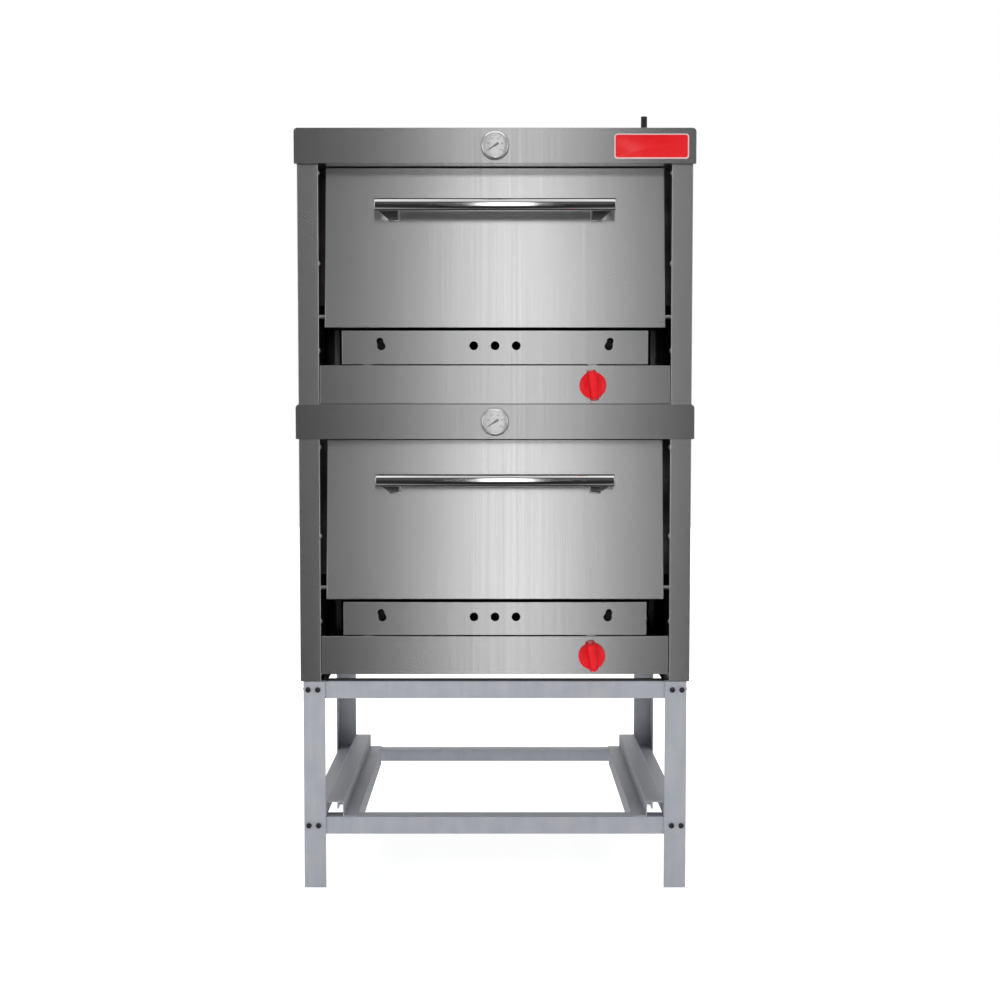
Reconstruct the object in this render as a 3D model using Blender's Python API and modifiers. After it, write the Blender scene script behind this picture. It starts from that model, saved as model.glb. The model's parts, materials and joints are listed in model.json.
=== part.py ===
"""Two-deck gas baking oven on a bolted angle-iron stand. Metres, +Z up, the front faces -Y."""

import math

import bmesh
import bpy
from mathutils import Matrix, Vector

# ---- driving dimensions -------------------------------------------------------------------
GAP = 0.0003  # air left between two pieces that touch
SHEET = 0.0015  # body sheet
SKIN = 0.0012  # door, header and panel sheet
POKE = 0.010  # how far a cutter runs past the sheet it cuts

BODY_DEPTH = 0.760
BODY_HALF = 0.445
FRONT_OVERHANG = 0.0365  # the knob's face, in front of the stiles
REAR_OVERHANG = 0.025  # the gas tee, behind the rear panel
FRONT = -(FRONT_OVERHANG + BODY_DEPTH + REAR_OVERHANG) / 2 + FRONT_OVERHANG
REAR = FRONT + BODY_DEPTH

STAND_HEIGHT = 0.480
STAND_HALF = 0.439
DECK_PITCH = 0.616
DECK_BASES = {"lower": STAND_HEIGHT + GAP, "upper": STAND_HEIGHT + GAP + DECK_PITCH}

# heights above a deck's base
CONTROL_LOW, CONTROL_HIGH = 0.0165, 0.104
BURNER_LOW, BURNER_HIGH = 0.1062, 0.1822
HEADER_LOW, HEADER_HIGH = 0.5535, 0.632
ROOF_TOP = DECK_PITCH - GAP
WALL_TOP = ROOF_TOP - SHEET - GAP
AXIS_HEIGHT = 0.214

OPENING_HALF = 0.3975  # between the stiles' inner returns
RETURN_DEPTH = 0.105
BOTTOM_FLANGE = 0.060
REAR_FLANGE = 0.015
PAN_LIP = 0.016
PAN_OVERLAP = 0.010

# the rear panel's flue slots
SLOT_ROWS, SLOT_COLUMNS = 2, 5
SLOT_PITCH, SLOT_ROW_PITCH = 0.100, 0.025
SLOT_WIDTH, SLOT_HEIGHT = 0.070, 0.010
SLOTS_LOW = 0.560
PIPE_BORE = 0.009

# the door, in its own frame: x across, y back through it, z up along its slope, axis at 0, 0
LEAN = math.radians(6)
DOOR_HALF = 0.384
DOOR_FRONT, DOOR_BACK = -0.014, 0.028
DOOR_BOTTOM, DOOR_TOP = -0.027, 0.3385
DOOR_SKIN_DEPTH = 0.030
LINER_INSET = 0.0025
LINER_FRONT = 0.0065
DOOR_SETBACK = 0.001  # the door's lower front edge, behind the stiles' face
AXIS_Y = FRONT + DOOR_SETBACK - DOOR_FRONT * math.cos(LEAN) - DOOR_BOTTOM * math.sin(LEAN)
ROD_RADIUS = 0.005
ROD_HOLE = 0.0056
ROD_HALF = 0.4045

HANDLE_HALF = 0.270
HANDLE_RADIUS = 0.0140
HANDLE_STANDOFF = 0.050
HANDLE_HEIGHT = 0.2414
HANDLE_DROP = 0.015  # the feet, below the bar
BRACKET_AT_BAR = (0.216, 0.268)
BRACKET_AT_FOOT = (0.218, 0.240)
FOOT_PAD = 0.003
PAD_HALF_HEIGHT = 0.012
PAD_MARGIN = 0.002
BRACKET_HALF_AT_BAR, BRACKET_HALF_AT_FOOT = 0.009, 0.010

# the chamber
CHAMBER_HALF = 0.350
CHAMBER_BACK = FRONT + 0.700
FLOOR = 0.224
CEILING = 0.5396
MOUTH_PLANE = DOOR_BACK + 0.002
MOUTH_LOW = 0.031
MOUTH_DROP = MOUTH_PLANE * math.sin(LEAN) - AXIS_HEIGHT
MOUTH_LINTEL = (CEILING + 0.9 * SHEET + MOUTH_DROP) / math.cos(LEAN)
MOUTH_HIGH = (HEADER_LOW - 0.001 + MOUTH_DROP) / math.cos(LEAN)
SILL_Y = FRONT + 0.0625
SILL_LOW = 0.184
SWING_HIGH = FLOOR + 0.018  # the liner is cut away below this for the door's lower edge
PROBE_BORE = 0.0045
STONE_BEHIND_SILL = 0.004
STONE_THICK = 0.020
STONE_MARGIN = 0.005

# front panels and header
HEADER_HALF = 0.450
HEADER_FACE = FRONT - 0.012
HEADER_CORNER = 0.009
CONTROL_HALF = 0.396
BURNER_HALF = 0.346
PANEL_DEPTH = 0.016
SIGHT_HOLE_RADIUS = 0.010
SIGHT_HOLE_PITCH = 0.048
SIGHT_HOLE_HEIGHT = (BURNER_LOW + BURNER_HIGH) / 2 + 0.004
PORT_X = 0.260
# each lighting port is two overlapping holes: offset outwards, rise above the panel's middle, radius
PORT_HOLES = ((0, 0.014, 0.008), (-0.003, 0.003, 0.0095))
TAB_STARTS = (-0.30, 0.21)  # tabs that rest the burner panel on the control panel
TAB_WIDTH = 0.02
TAB_Y = (FRONT + 0.004, FRONT + 0.014)
STEM_BORE = 0.006
BADGE_SIZE = (0.167, 0.0015, 0.0555)
BADGE_X, BADGE_HEIGHT = 0.350, 0.591

# gas train
KNOB_X = 0.221
KNOB_HEIGHT = 0.059
KNOB_TILT = math.radians(8)
KNOB_RADIUS = 0.0305
KNOB_BACK, KNOB_RIM = 0.0015, 0.0135
GRIP_HALF_WIDTH, GRIP_HALF_LENGTH, GRIP_BACK = 0.0115, 0.0355, 0.004
GRIP_TOP_WIDTH, GRIP_TOP_LENGTH = 0.72, 0.90  # of the grip's size at its foot
SOCKET_RADIUS, SOCKET_DEPTH = 0.0044, 0.0235
STEM_BACK, STEM_FRONT = -0.040, 0.022
STEM_RADIUS = 0.004
VALVE_HALF = 0.018
VALVE_Y = (FRONT + 0.030, FRONT + 0.080)
NOZZLE_END = FRONT + 0.105
NECK_OF_VALVE, NOZZLE_RADIUS, SEAT_RADIUS = 0.011, 0.006, 0.0046
SEAT_DEPTH = 0.012
VALVE_OVERLAP = 0.005
BURNER_X = 0.257
BURNER_HEIGHT = (BURNER_LOW + BURNER_HIGH) / 2 + 0.003
BURNER_RADIUS = 0.017
BURNER_Y = (FRONT + 0.035, FRONT + 0.600)
INLET_RADIUS = 0.013
INLET_SHIFT = 0.060  # how far the inlet drops beside the knob's line
BEND_RADIUS = 0.040
PIPE_X = 0.410
FEED_RADIUS = 0.006
RISER_RADIUS = 0.0085
RISER_Y = REAR + 0.013
TEE_RADIUS = 0.012
RISER_ABOVE_ROOF = 0.200
RISER_TAIL = 0.035  # below the lower tee
TEE_HALF = 0.020
TEE_BORE = 0.0068

# thermometer, in its own frame: +z forward from the header's face
BEZEL_RADIUS = 0.032
CAN_RADIUS = 0.028
CAN_CLEARANCE = 0.001
CAN_DEPTH = 0.0105
NECK_RADIUS = 0.006
NECK_CLEARANCE = 0.002
NECK_REACH = 0.012
GLASS_RADIUS = 0.0262
BEZEL_FACE = 0.0100
DIAL_BACK, DIAL_FACE, DIAL_HOLE = 0.0010, 0.0025, 0.002
LENS_BACK, LENS_RIM, LENS_CROWN = 0.0065, 0.0080, 0.0085
HUB_RADIUS, SPINDLE_RADIUS, SPINDLE_END = 0.0028, 0.0015, -0.006
HUB_BACK, HUB_RIM, HUB_CROWN = 0.0029, 0.0052, 0.0055
NEEDLE_TAIL, NEEDLE_TIP, NEEDLE_HALF = -0.009, 0.0215, 0.0012
NEEDLE_BACK, NEEDLE_FACE = 0.0035, 0.0045
NEEDLE_TAIL_WIDENS, NEEDLE_TIP_NARROWS = 2.4, 0.25
THERMO_HEIGHT = 0.5925
NEEDLE_REST = math.radians(214)
PROBE_Y = FRONT + 0.150
PROBE_RADIUS = 0.0025
PROBE_LOW = 0.515

# stand
LEG_SIZE, LEG_THICK = 0.050, 0.004
RAIL_SIZE, RAIL_THICK = 0.040, 0.003
STAND_FRONT, STAND_REAR = FRONT + 0.002, REAR - 0.002
LOWER_RAIL_TOP = 0.165
RUNNER_SHEET = 0.002
RUNNER_HAT = (0.050, 0.090, 0.122)  # hat start, hat end and inner lip, from the stand's side
RUNNER_HAT_HEIGHT = 0.033

STAINLESS = ("stainless", (0.62, 0.62, 0.63), 0.34, 1.0)
INNER_STEEL = ("aluminised_steel", (0.45, 0.45, 0.46), 0.50, 1.0)
POLISHED = ("polished_steel", (0.85, 0.85, 0.86), 0.12, 1.0)
GREY_PAINT = ("grey_paint", (0.34, 0.36, 0.39), 0.45, 0.0)
DARK_IRON = ("dark_iron", (0.10, 0.10, 0.10), 0.60, 0.8)
BLACK_PIPE = ("black_pipe", (0.02, 0.02, 0.02), 0.55, 0.0)
BRASS = ("brass", (0.72, 0.52, 0.22), 0.35, 1.0)
RED_PLASTIC = ("red_plastic", (0.78, 0.01, 0.02), 0.22, 0.0)
STONE = ("fireclay", (0.62, 0.55, 0.45), 0.90, 0.0)
WHITE_ENAMEL = ("white_enamel", (0.88, 0.88, 0.85), 0.30, 0.0)
GLASS = ("glass", (0.80, 0.85, 0.85), 0.05, 0.0)
BLACK = ("black_enamel", (0.01, 0.01, 0.01), 0.40, 0.0)


# ---- scene, materials and collections -----------------------------------------------------
def clear_scene():
    for obj in list(bpy.data.objects):
        bpy.data.objects.remove(obj)


def new_collection(name):
    made = bpy.data.collections.new(name)
    bpy.context.scene.collection.children.link(made)
    return made


def new_material(part, finish):
    _, colour, roughness, metallic = finish
    made = bpy.data.materials.new(f"{part}_{finish[0]}")
    made.use_nodes = True
    shader = made.node_tree.nodes["Principled BSDF"]
    shader.inputs["Base Color"].default_value = (*colour, 1)
    shader.inputs["Roughness"].default_value = roughness
    shader.inputs["Metallic"].default_value = metallic
    made.diffuse_color = (*colour, 1)
    return made


def place(name, mesh, finish, parent=None):
    obj = bpy.data.objects.new(name, mesh)
    PARTS.objects.link(obj)
    obj.data.materials.append(new_material(name, finish))
    obj.parent = parent
    return obj


def place_cutter(name, mesh, parent=None):
    obj = bpy.data.objects.new(name, mesh)
    CUTTERS.objects.link(obj)
    obj.hide_render = True
    obj.display_type = "WIRE"
    obj.parent = parent
    return obj


def new_pivot(name, location, rotation):
    pivot = bpy.data.objects.new(name, None)
    PARTS.objects.link(pivot)
    pivot.location = location
    pivot.rotation_euler = rotation
    return pivot


# ---- shapes ------------------------------------------------------------------------------
def mesh_from(bm, name, smooth=False):
    mesh = bpy.data.meshes.new(name)
    bm.to_mesh(mesh)
    bm.free()
    if smooth:
        mesh.shade_smooth()
        mesh.set_sharp_from_angle(angle=math.radians(35))
    return mesh


def cube(low, high):
    low, high = Vector(low), Vector(high)
    bm = bmesh.new()
    bmesh.ops.create_cube(bm, size=1)
    bmesh.ops.scale(bm, vec=high - low, verts=bm.verts)
    bmesh.ops.translate(bm, vec=(low + high) / 2, verts=bm.verts)
    return bm


def box_mesh(name, low, high):
    return mesh_from(cube(low, high), name)


def cylinder_mesh(name, start, end, radius, sides=24):
    """A round bar from start to end."""
    start, end = Vector(start), Vector(end)
    bm = bmesh.new()
    bmesh.ops.create_cone(
        bm, cap_ends=True, segments=sides, radius1=radius, radius2=radius, depth=(end - start).length
    )
    turn = Vector((0, 0, 1)).rotation_difference(end - start).to_matrix().to_4x4()
    bmesh.ops.transform(bm, matrix=Matrix.Translation((start + end) / 2) @ turn, verts=bm.verts)
    return mesh_from(bm, name, smooth=True)


def boolean(obj, other, operation):
    modifier = obj.modifiers.new(operation.lower(), "BOOLEAN")
    modifier.operation = operation
    modifier.object = other


def cut(obj, mesh):
    cutter = place_cutter(f"{obj.name}_cut", mesh, obj.parent)
    boolean(obj, cutter, "DIFFERENCE")


def join(obj, mesh):
    added = place_cutter(f"{obj.name}_add", mesh, obj.parent)
    boolean(obj, added, "UNION")


def plates(name, boxes, finish, parent=None):
    """Flat plates, each a (low, high) pair of corners, joined into one piece."""
    obj = place(name, box_mesh(name, *boxes[0]), finish, parent)
    for low, high in boxes[1:]:
        join(obj, box_mesh(name, low, high))
    return obj


def tray(name, low, high, open_side, thickness, finish, parent=None, corner=0.0):
    """A folded tray: five walls of a box, open towards open_side, with optional round top corners."""
    bm = cube(low, high)
    if corner:
        top = [e for e in bm.edges if all(v.co.z > high[2] - GAP for v in e.verts)]
        ends = [e for e in top if abs(e.verts[0].co.x - e.verts[1].co.x) < GAP]
        bmesh.ops.bevel(bm, geom=ends, offset=corner, segments=5, profile=0.5, affect="EDGES")
    opened = [f for f in bm.faces if f.normal.dot(Vector(open_side)) > 0.99]
    bmesh.ops.delete(bm, geom=opened, context="FACES_ONLY")
    obj = place(name, mesh_from(bm, name), finish, parent)
    fold_sheet(obj, thickness, offset=-1)
    return obj


def fold_sheet(obj, thickness, offset):
    solidify = obj.modifiers.new("sheet", "SOLIDIFY")
    solidify.thickness = thickness
    solidify.offset = offset
    solidify.use_even_offset = True


def folded(name, midline, start, end, axis, thickness, finish):
    """A sheet folded along midline, the middle of its thickness, and drawn along axis."""
    bm = bmesh.new()
    chain = [bm.verts.new(point) for point in midline]
    edges = [bm.edges.new(pair) for pair in zip(chain, chain[1:])]
    bmesh.ops.translate(bm, vec=axis * start, verts=bm.verts)
    drawn = bmesh.ops.extrude_edge_only(bm, edges=edges)["geom"]
    moved = [v for v in drawn if isinstance(v, bmesh.types.BMVert)]
    bmesh.ops.translate(bm, vec=axis * (end - start), verts=moved)
    obj = place(name, mesh_from(bm, name), finish)
    fold_sheet(obj, thickness, offset=0)
    return obj


def turned_mesh(name, profile, steps=36):
    """A turned solid. The profile, as (radius, height), goes down its outer side."""
    bm = bmesh.new()
    points = [bm.verts.new((radius, 0, height)) for radius, height in profile]
    for pair in zip(points, points[1:]):
        bm.edges.new(pair)
    obj = bpy.data.objects.new(name, mesh_from(bm, name))
    CUTTERS.objects.link(obj)
    screw = obj.modifiers.new("turn", "SCREW")
    screw.steps = screw.render_steps = steps
    screw.use_merge_vertices = True
    screw.merge_threshold = 0.00005
    screw.use_normal_calculate = False
    return evaluated_mesh(obj, name)


def evaluated_mesh(obj, name):
    """The object's mesh with its modifiers applied; the object itself is removed."""
    bpy.context.view_layer.update()
    graph = bpy.context.evaluated_depsgraph_get()
    mesh = bpy.data.meshes.new_from_object(obj.evaluated_get(graph))
    bpy.data.objects.remove(obj)
    bm = bmesh.new()
    bm.from_mesh(mesh)
    bmesh.ops.remove_doubles(bm, verts=bm.verts, dist=0.00001)
    bpy.data.meshes.remove(mesh)
    return mesh_from(bm, name, smooth=True)


def rounded_route(corners, radius, steps=4):
    """The corners' route with each inner corner eased over radius."""
    corners = [Vector(c) for c in corners]
    route = [corners[0]]
    for before, corner, after in zip(corners, corners[1:], corners[2:]):
        reach = min(radius, (corner - before).length * 0.45, (after - corner).length * 0.45)
        start = corner + (before - corner).normalized() * reach
        end = corner + (after - corner).normalized() * reach
        for i in range(steps + 1):
            t = i / steps
            route.append(start * (1 - t) ** 2 + corner * 2 * t * (1 - t) + end * t**2)
    return route + [corners[-1]]


def tube_mesh(name, route, radius, resolution=3):
    """A round bar along a route, with filled ends."""
    curve = bpy.data.curves.new(name, "CURVE")
    curve.dimensions = "3D"
    curve.bevel_depth = radius
    curve.bevel_resolution = resolution
    curve.use_fill_caps = True
    spline = curve.splines.new("POLY")
    spline.points.add(len(route) - 1)
    for point, place_on in zip(spline.points, route):
        point.co = (*place_on, 1)
    obj = bpy.data.objects.new(name, curve)
    CUTTERS.objects.link(obj)
    return evaluated_mesh(obj, name)


def turn_forward(mesh, location):
    """Turns a shape made along +z to look forwards, and puts it at location."""
    mesh.transform(Matrix.Translation(location) @ Matrix.Rotation(math.pi / 2, 4, "X"))
    return mesh


# ---- stand -------------------------------------------------------------------------------
def corner_plates(side, near, back_sign, size, thick, z_low, z_high):
    """The two flanges of a vertical angle iron whose heel is at (side, near)."""
    side_sign = math.copysign(1, side)
    heel = (side, near)
    toe_x = side - side_sign * size
    toe_y = near + back_sign * size
    front = sorted_box((heel[0], heel[1], z_low), (toe_x, near + back_sign * thick, z_high))
    flank = sorted_box((heel[0], heel[1], z_low), (side - side_sign * thick, toe_y, z_high))
    return [front, flank]


def sorted_box(a, b):
    return tuple(map(min, zip(a, b))), tuple(map(max, zip(a, b)))


def build_legs():
    for end, near, back_sign in (("front", STAND_FRONT, 1), ("rear", STAND_REAR, -1)):
        for hand, side in (("left", -STAND_HALF), ("right", STAND_HALF)):
            boxes = corner_plates(side, near, back_sign, LEG_SIZE, LEG_THICK, 0, STAND_HEIGHT)
            plates(f"stand_leg_{end}_{hand}", boxes, GREY_PAINT)


def build_cross_rails(prefix, top, half):
    """Angle-iron rails across the front and rear, one flange down and one flange inwards."""
    inset = LEG_THICK + GAP
    for end, near, sign in (("front", STAND_FRONT, 1), ("rear", STAND_REAR, -1)):
        heel = near + sign * inset
        upright = sorted_box((-half, heel, top - RAIL_SIZE), (half, heel + sign * RAIL_THICK, top))
        ledge = sorted_box((-half, heel, top - RAIL_THICK), (half, heel + sign * RAIL_SIZE, top))
        plates(f"stand_{prefix}_rail_{end}", [upright, ledge], GREY_PAINT)


def build_top_side_rails():
    inset = LEG_THICK + GAP
    ledge_start = STAND_FRONT + inset + RAIL_SIZE + GAP
    ledge_end = STAND_REAR - inset - RAIL_SIZE - GAP
    for hand, sign in (("left", -1), ("right", 1)):
        heel = sign * (STAND_HALF - inset)
        low, top = STAND_HEIGHT - RAIL_SIZE, STAND_HEIGHT
        upright = sorted_box(
            (heel, STAND_FRONT + inset, low), (heel - sign * RAIL_THICK, STAND_REAR - inset, top)
        )
        ledge = sorted_box(
            (heel, ledge_start, top - RAIL_THICK), (heel - sign * RAIL_SIZE, ledge_end, top)
        )
        plates(f"stand_top_rail_{hand}", [upright, ledge], GREY_PAINT)


def build_runners():
    """Hat-section runners that carry trays, laid on the lower front and rear rails."""
    hat_start, hat_end, lip = RUNNER_HAT
    flange = LOWER_RAIL_TOP + GAP + RUNNER_SHEET / 2
    crown = flange + RUNNER_HAT_HEIGHT
    outer = STAND_HALF - LEG_THICK - GAP - RUNNER_SHEET / 2
    lip_low = LOWER_RAIL_TOP - RAIL_SIZE
    lip_start = STAND_FRONT + LEG_THICK + RAIL_SIZE + 2 * GAP
    lip_end = STAND_REAR - LEG_THICK - RAIL_SIZE - 2 * GAP
    run = (STAND_FRONT + LEG_THICK + GAP, STAND_REAR - LEG_THICK - GAP)
    for hand, sign in (("left", -1), ("right", 1)):
        section = [
            (outer, flange),
            (STAND_HALF - hat_start, flange),
            (STAND_HALF - hat_start, crown),
            (STAND_HALF - hat_end, crown),
            (STAND_HALF - hat_end, flange),
            (STAND_HALF - lip, flange),
        ]
        midline = [(sign * x, 0, z) for x, z in section]
        runner = folded(
            f"stand_runner_{hand}", midline, *run, Vector((0, 1, 0)), RUNNER_SHEET, GREY_PAINT
        )
        for x in (outer, STAND_HALF - lip):
            half = RUNNER_SHEET / 2
            near, far = (sign * (x - half), lip_start, lip_low), (sign * (x + half), lip_end, flange)
            join(runner, box_mesh(runner.name, *sorted_box(near, far)))


def build_stand():
    build_legs()
    build_cross_rails("top", STAND_HEIGHT, STAND_HALF - LEG_THICK - RAIL_THICK - 2 * GAP)
    build_top_side_rails()
    build_cross_rails("low", LOWER_RAIL_TOP, STAND_HALF - LEG_THICK - GAP)
    build_runners()


# ---- a deck's casing ---------------------------------------------------------------------
def build_side_panels(prefix, base):
    wall = BODY_HALF - SHEET / 2
    inner = OPENING_HALF + SHEET / 2
    back = REAR - SHEET - GAP - SHEET / 2
    face = FRONT + SHEET / 2
    for hand, sign in (("left", -1), ("right", 1)):
        section = [
            (wall - REAR_FLANGE, back),
            (wall, back),
            (wall, face),
            (inner, face),
            (inner, FRONT + RETURN_DEPTH),
        ]
        midline = [(sign * x, y, 0) for x, y in section]
        panel = folded(
            f"{prefix}_side_panel_{hand}",
            midline,
            base,
            base + WALL_TOP,
            Vector((0, 0, 1)),
            SHEET,
            STAINLESS,
        )
        flange = sorted_box(
            (sign * (BODY_HALF - BOTTOM_FLANGE), face, base + GAP / 2),
            (sign * wall, back, base + GAP / 2 + SHEET),
        )
        join(panel, box_mesh(panel.name, *flange))
        cut(panel, rod_bore(base, sign * (OPENING_HALF - POKE / 2), sign * (OPENING_HALF + POKE)))


def rod_bore(base, x_start, x_end):
    axis = base + AXIS_HEIGHT
    return cylinder_mesh("rod_bore", (x_start, AXIS_Y, axis), (x_end, AXIS_Y, axis), ROD_HOLE)


def build_roof(prefix, base):
    """The roof sheet, its front flange behind the header and the soffit above the door."""
    inside = OPENING_HALF - GAP
    roof = plates(
        f"{prefix}_roof_panel",
        [
            (
                (-BODY_HALF, FRONT, base + ROOF_TOP - SHEET),
                (BODY_HALF, REAR - SHEET - GAP, base + ROOF_TOP),
            ),
            (
                (-inside, FRONT + GAP, base + HEADER_LOW),
                (inside, FRONT + GAP + SHEET, base + ROOF_TOP - SHEET / 2),
            ),
            (
                (-inside, FRONT + GAP + SHEET / 2, base + HEADER_LOW + GAP / 2),
                (inside, FRONT + RETURN_DEPTH, base + HEADER_LOW + SHEET),
            ),
        ],
        STAINLESS,
    )
    cut(roof, thermometer_bore(base, FRONT - POKE, FRONT + POKE, NECK_RADIUS + NECK_CLEARANCE))


def build_rear(prefix, base):
    rear = plates(
        f"{prefix}_rear_panel",
        [
            (
                (-BODY_HALF, REAR - SHEET, base + CONTROL_LOW),
                (BODY_HALF, REAR, base + ROOF_TOP),
            )
        ],
        STAINLESS,
    )
    pipe_height = base + KNOB_HEIGHT
    cut(
        rear,
        cylinder_mesh(
            "pipe_bore",
            (PIPE_X, REAR - POKE, pipe_height),
            (PIPE_X, REAR + POKE, pipe_height),
            PIPE_BORE,
        ),
    )
    for row in range(SLOT_ROWS):
        for column in range(SLOT_COLUMNS):
            x = (column - (SLOT_COLUMNS - 1) / 2) * SLOT_PITCH
            z = base + SLOTS_LOW + row * SLOT_ROW_PITCH
            low = (x - SLOT_WIDTH / 2, REAR - POKE, z)
            high = (x + SLOT_WIDTH / 2, REAR + POKE, z + SLOT_HEIGHT)
            cut(rear, box_mesh("flue_slot", low, high))


def build_base_pan(prefix, base):
    """The pan under the burner, notched round the stiles and stood on the side panels' flanges."""
    floor = base + CONTROL_LOW
    wide = BODY_HALF - SHEET - GAP
    narrow = OPENING_HALF - GAP
    notch = FRONT + RETURN_DEPTH + GAP
    start = FRONT + PANEL_DEPTH + GAP
    back = REAR - 2 * SHEET - 2 * GAP
    middle = floor + SHEET / 2
    boxes = [
        ((-wide, notch, floor), (wide, back, floor + SHEET)),
        ((-narrow, start, floor + GAP / 2), (narrow, notch + PAN_OVERLAP, floor + SHEET - GAP / 2)),
        ((-narrow + PAN_OVERLAP, start, middle), (narrow - PAN_OVERLAP, start + SHEET, floor + PAN_LIP)),
    ]
    foot = base + SHEET + 2 * GAP
    for sign in (-1, 1):
        boxes.append(
            sorted_box(
                (sign * wide, notch + GAP, foot),
                (sign * (wide - SHEET), back - GAP, middle),
            )
        )
    plates(f"{prefix}_base_pan", boxes, INNER_STEEL)


def build_header(prefix, base):
    header = tray(
        f"{prefix}_header_panel",
        (-HEADER_HALF, HEADER_FACE, base + HEADER_LOW),
        (HEADER_HALF, FRONT - GAP, base + HEADER_HIGH),
        (0, 1, 0),
        SKIN,
        STAINLESS,
        corner=HEADER_CORNER,
    )
    cut(header, thermometer_bore(base, HEADER_FACE - POKE, FRONT - POKE / 2, CAN_RADIUS + CAN_CLEARANCE))


def thermometer_bore(base, start, end, radius):
    z = base + THERMO_HEIGHT
    return cylinder_mesh("thermometer_bore", (0, start, z), (0, end, z), radius, 48)


# ---- a deck's front panels and gas train -------------------------------------------------
def build_control_panel(prefix, base):
    panel = tray(
        f"{prefix}_control_panel",
        (-CONTROL_HALF, FRONT, base + CONTROL_LOW),
        (CONTROL_HALF, FRONT + PANEL_DEPTH, base + CONTROL_HIGH),
        (0, 1, 0),
        SKIN,
        STAINLESS,
    )
    z = base + KNOB_HEIGHT
    cut(panel, cylinder_mesh("stem_bore", (KNOB_X, FRONT - POKE, z), (KNOB_X, FRONT + POKE, z), STEM_BORE))


def build_burner_panel(prefix, base):
    panel = tray(
        f"{prefix}_burner_panel",
        (-BURNER_HALF, FRONT + DOOR_SETBACK, base + BURNER_LOW),
        (BURNER_HALF, FRONT + DOOR_SETBACK + PANEL_DEPTH, base + BURNER_HIGH),
        (0, 1, 0),
        SKIN,
        STAINLESS,
    )
    for x in TAB_STARTS:
        low = (x, TAB_Y[0], base + CONTROL_HIGH + GAP)
        high = (x + TAB_WIDTH, TAB_Y[1], base + BURNER_LOW + SKIN / 2)
        join(panel, box_mesh("panel_tab", low, high))
    near, far = FRONT - POKE, FRONT + POKE
    middle = base + (BURNER_LOW + BURNER_HIGH) / 2
    for i in (-1, 0, 1):
        x, z = i * SIGHT_HOLE_PITCH, base + SIGHT_HOLE_HEIGHT
        cut(panel, cylinder_mesh("sight_hole", (x, near, z), (x, far, z), SIGHT_HOLE_RADIUS))
    for sign in (-1, 1):
        for outwards, rise, radius in PORT_HOLES:
            x, z = sign * (PORT_X + outwards), middle + rise
            cut(panel, cylinder_mesh("lighting_port", (x, near, z), (x, far, z), radius))


def build_burner(prefix, base):
    """A U of burner tube with its inlet brought forward to the valve's nozzle."""
    z = base + BURNER_HEIGHT
    front, back = BURNER_Y
    u_route = [(-BURNER_X, front, z), (-BURNER_X, back, z), (BURNER_X, back, z), (BURNER_X, front, z)]
    mesh = tube_mesh("burner", rounded_route(u_route, 1.5 * BEND_RADIUS), BURNER_RADIUS)
    burner = place(f"{prefix}_burner_tube", mesh, DARK_IRON)
    low = base + KNOB_HEIGHT + 0.001
    drop_x, drop_y = KNOB_X - INLET_SHIFT, back - 0.002
    inlet_route = [
        (drop_x, drop_y, z),
        (drop_x, drop_y, low),
        (drop_x, drop_y - 2 * INLET_SHIFT, low),
        (KNOB_X, NOZZLE_END + INLET_SHIFT, low),
        (KNOB_X, NOZZLE_END + GAP, low),
    ]
    join(burner, tube_mesh("inlet", rounded_route(inlet_route, BEND_RADIUS), INLET_RADIUS))


def build_valve(prefix, base):
    z = base + KNOB_HEIGHT
    near, far = VALVE_Y
    low = (KNOB_X - VALVE_HALF, near, z - VALVE_HALF)
    high = (KNOB_X + VALVE_HALF, far, z + VALVE_HALF)
    valve = place(f"{prefix}_gas_valve", box_mesh("valve", low, high), BRASS)
    neck_front = FRONT + SKIN + GAP
    neck_ends = (KNOB_X, neck_front, z), (KNOB_X, near + VALVE_OVERLAP, z)
    join(valve, cylinder_mesh("neck", *neck_ends, NECK_OF_VALVE))
    nozzle_ends = (KNOB_X, far - VALVE_OVERLAP, z), (KNOB_X, NOZZLE_END, z)
    join(valve, cylinder_mesh("nozzle", *nozzle_ends, NOZZLE_RADIUS))
    seat_ends = (KNOB_X, FRONT - POKE, z), (KNOB_X, near + SEAT_DEPTH, z)
    cut(valve, cylinder_mesh("stem_seat", *seat_ends, SEAT_RADIUS))
    pivot = new_pivot(f"{prefix}_knob_axis", (KNOB_X, FRONT, z), (math.pi / 2, 0, 0))
    stem = cylinder_mesh("stem", (0, 0, STEM_BACK), (0, 0, STEM_FRONT), STEM_RADIUS)
    place(f"{prefix}_valve_stem", stem, BRASS, pivot)
    build_knob(prefix, pivot)


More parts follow.
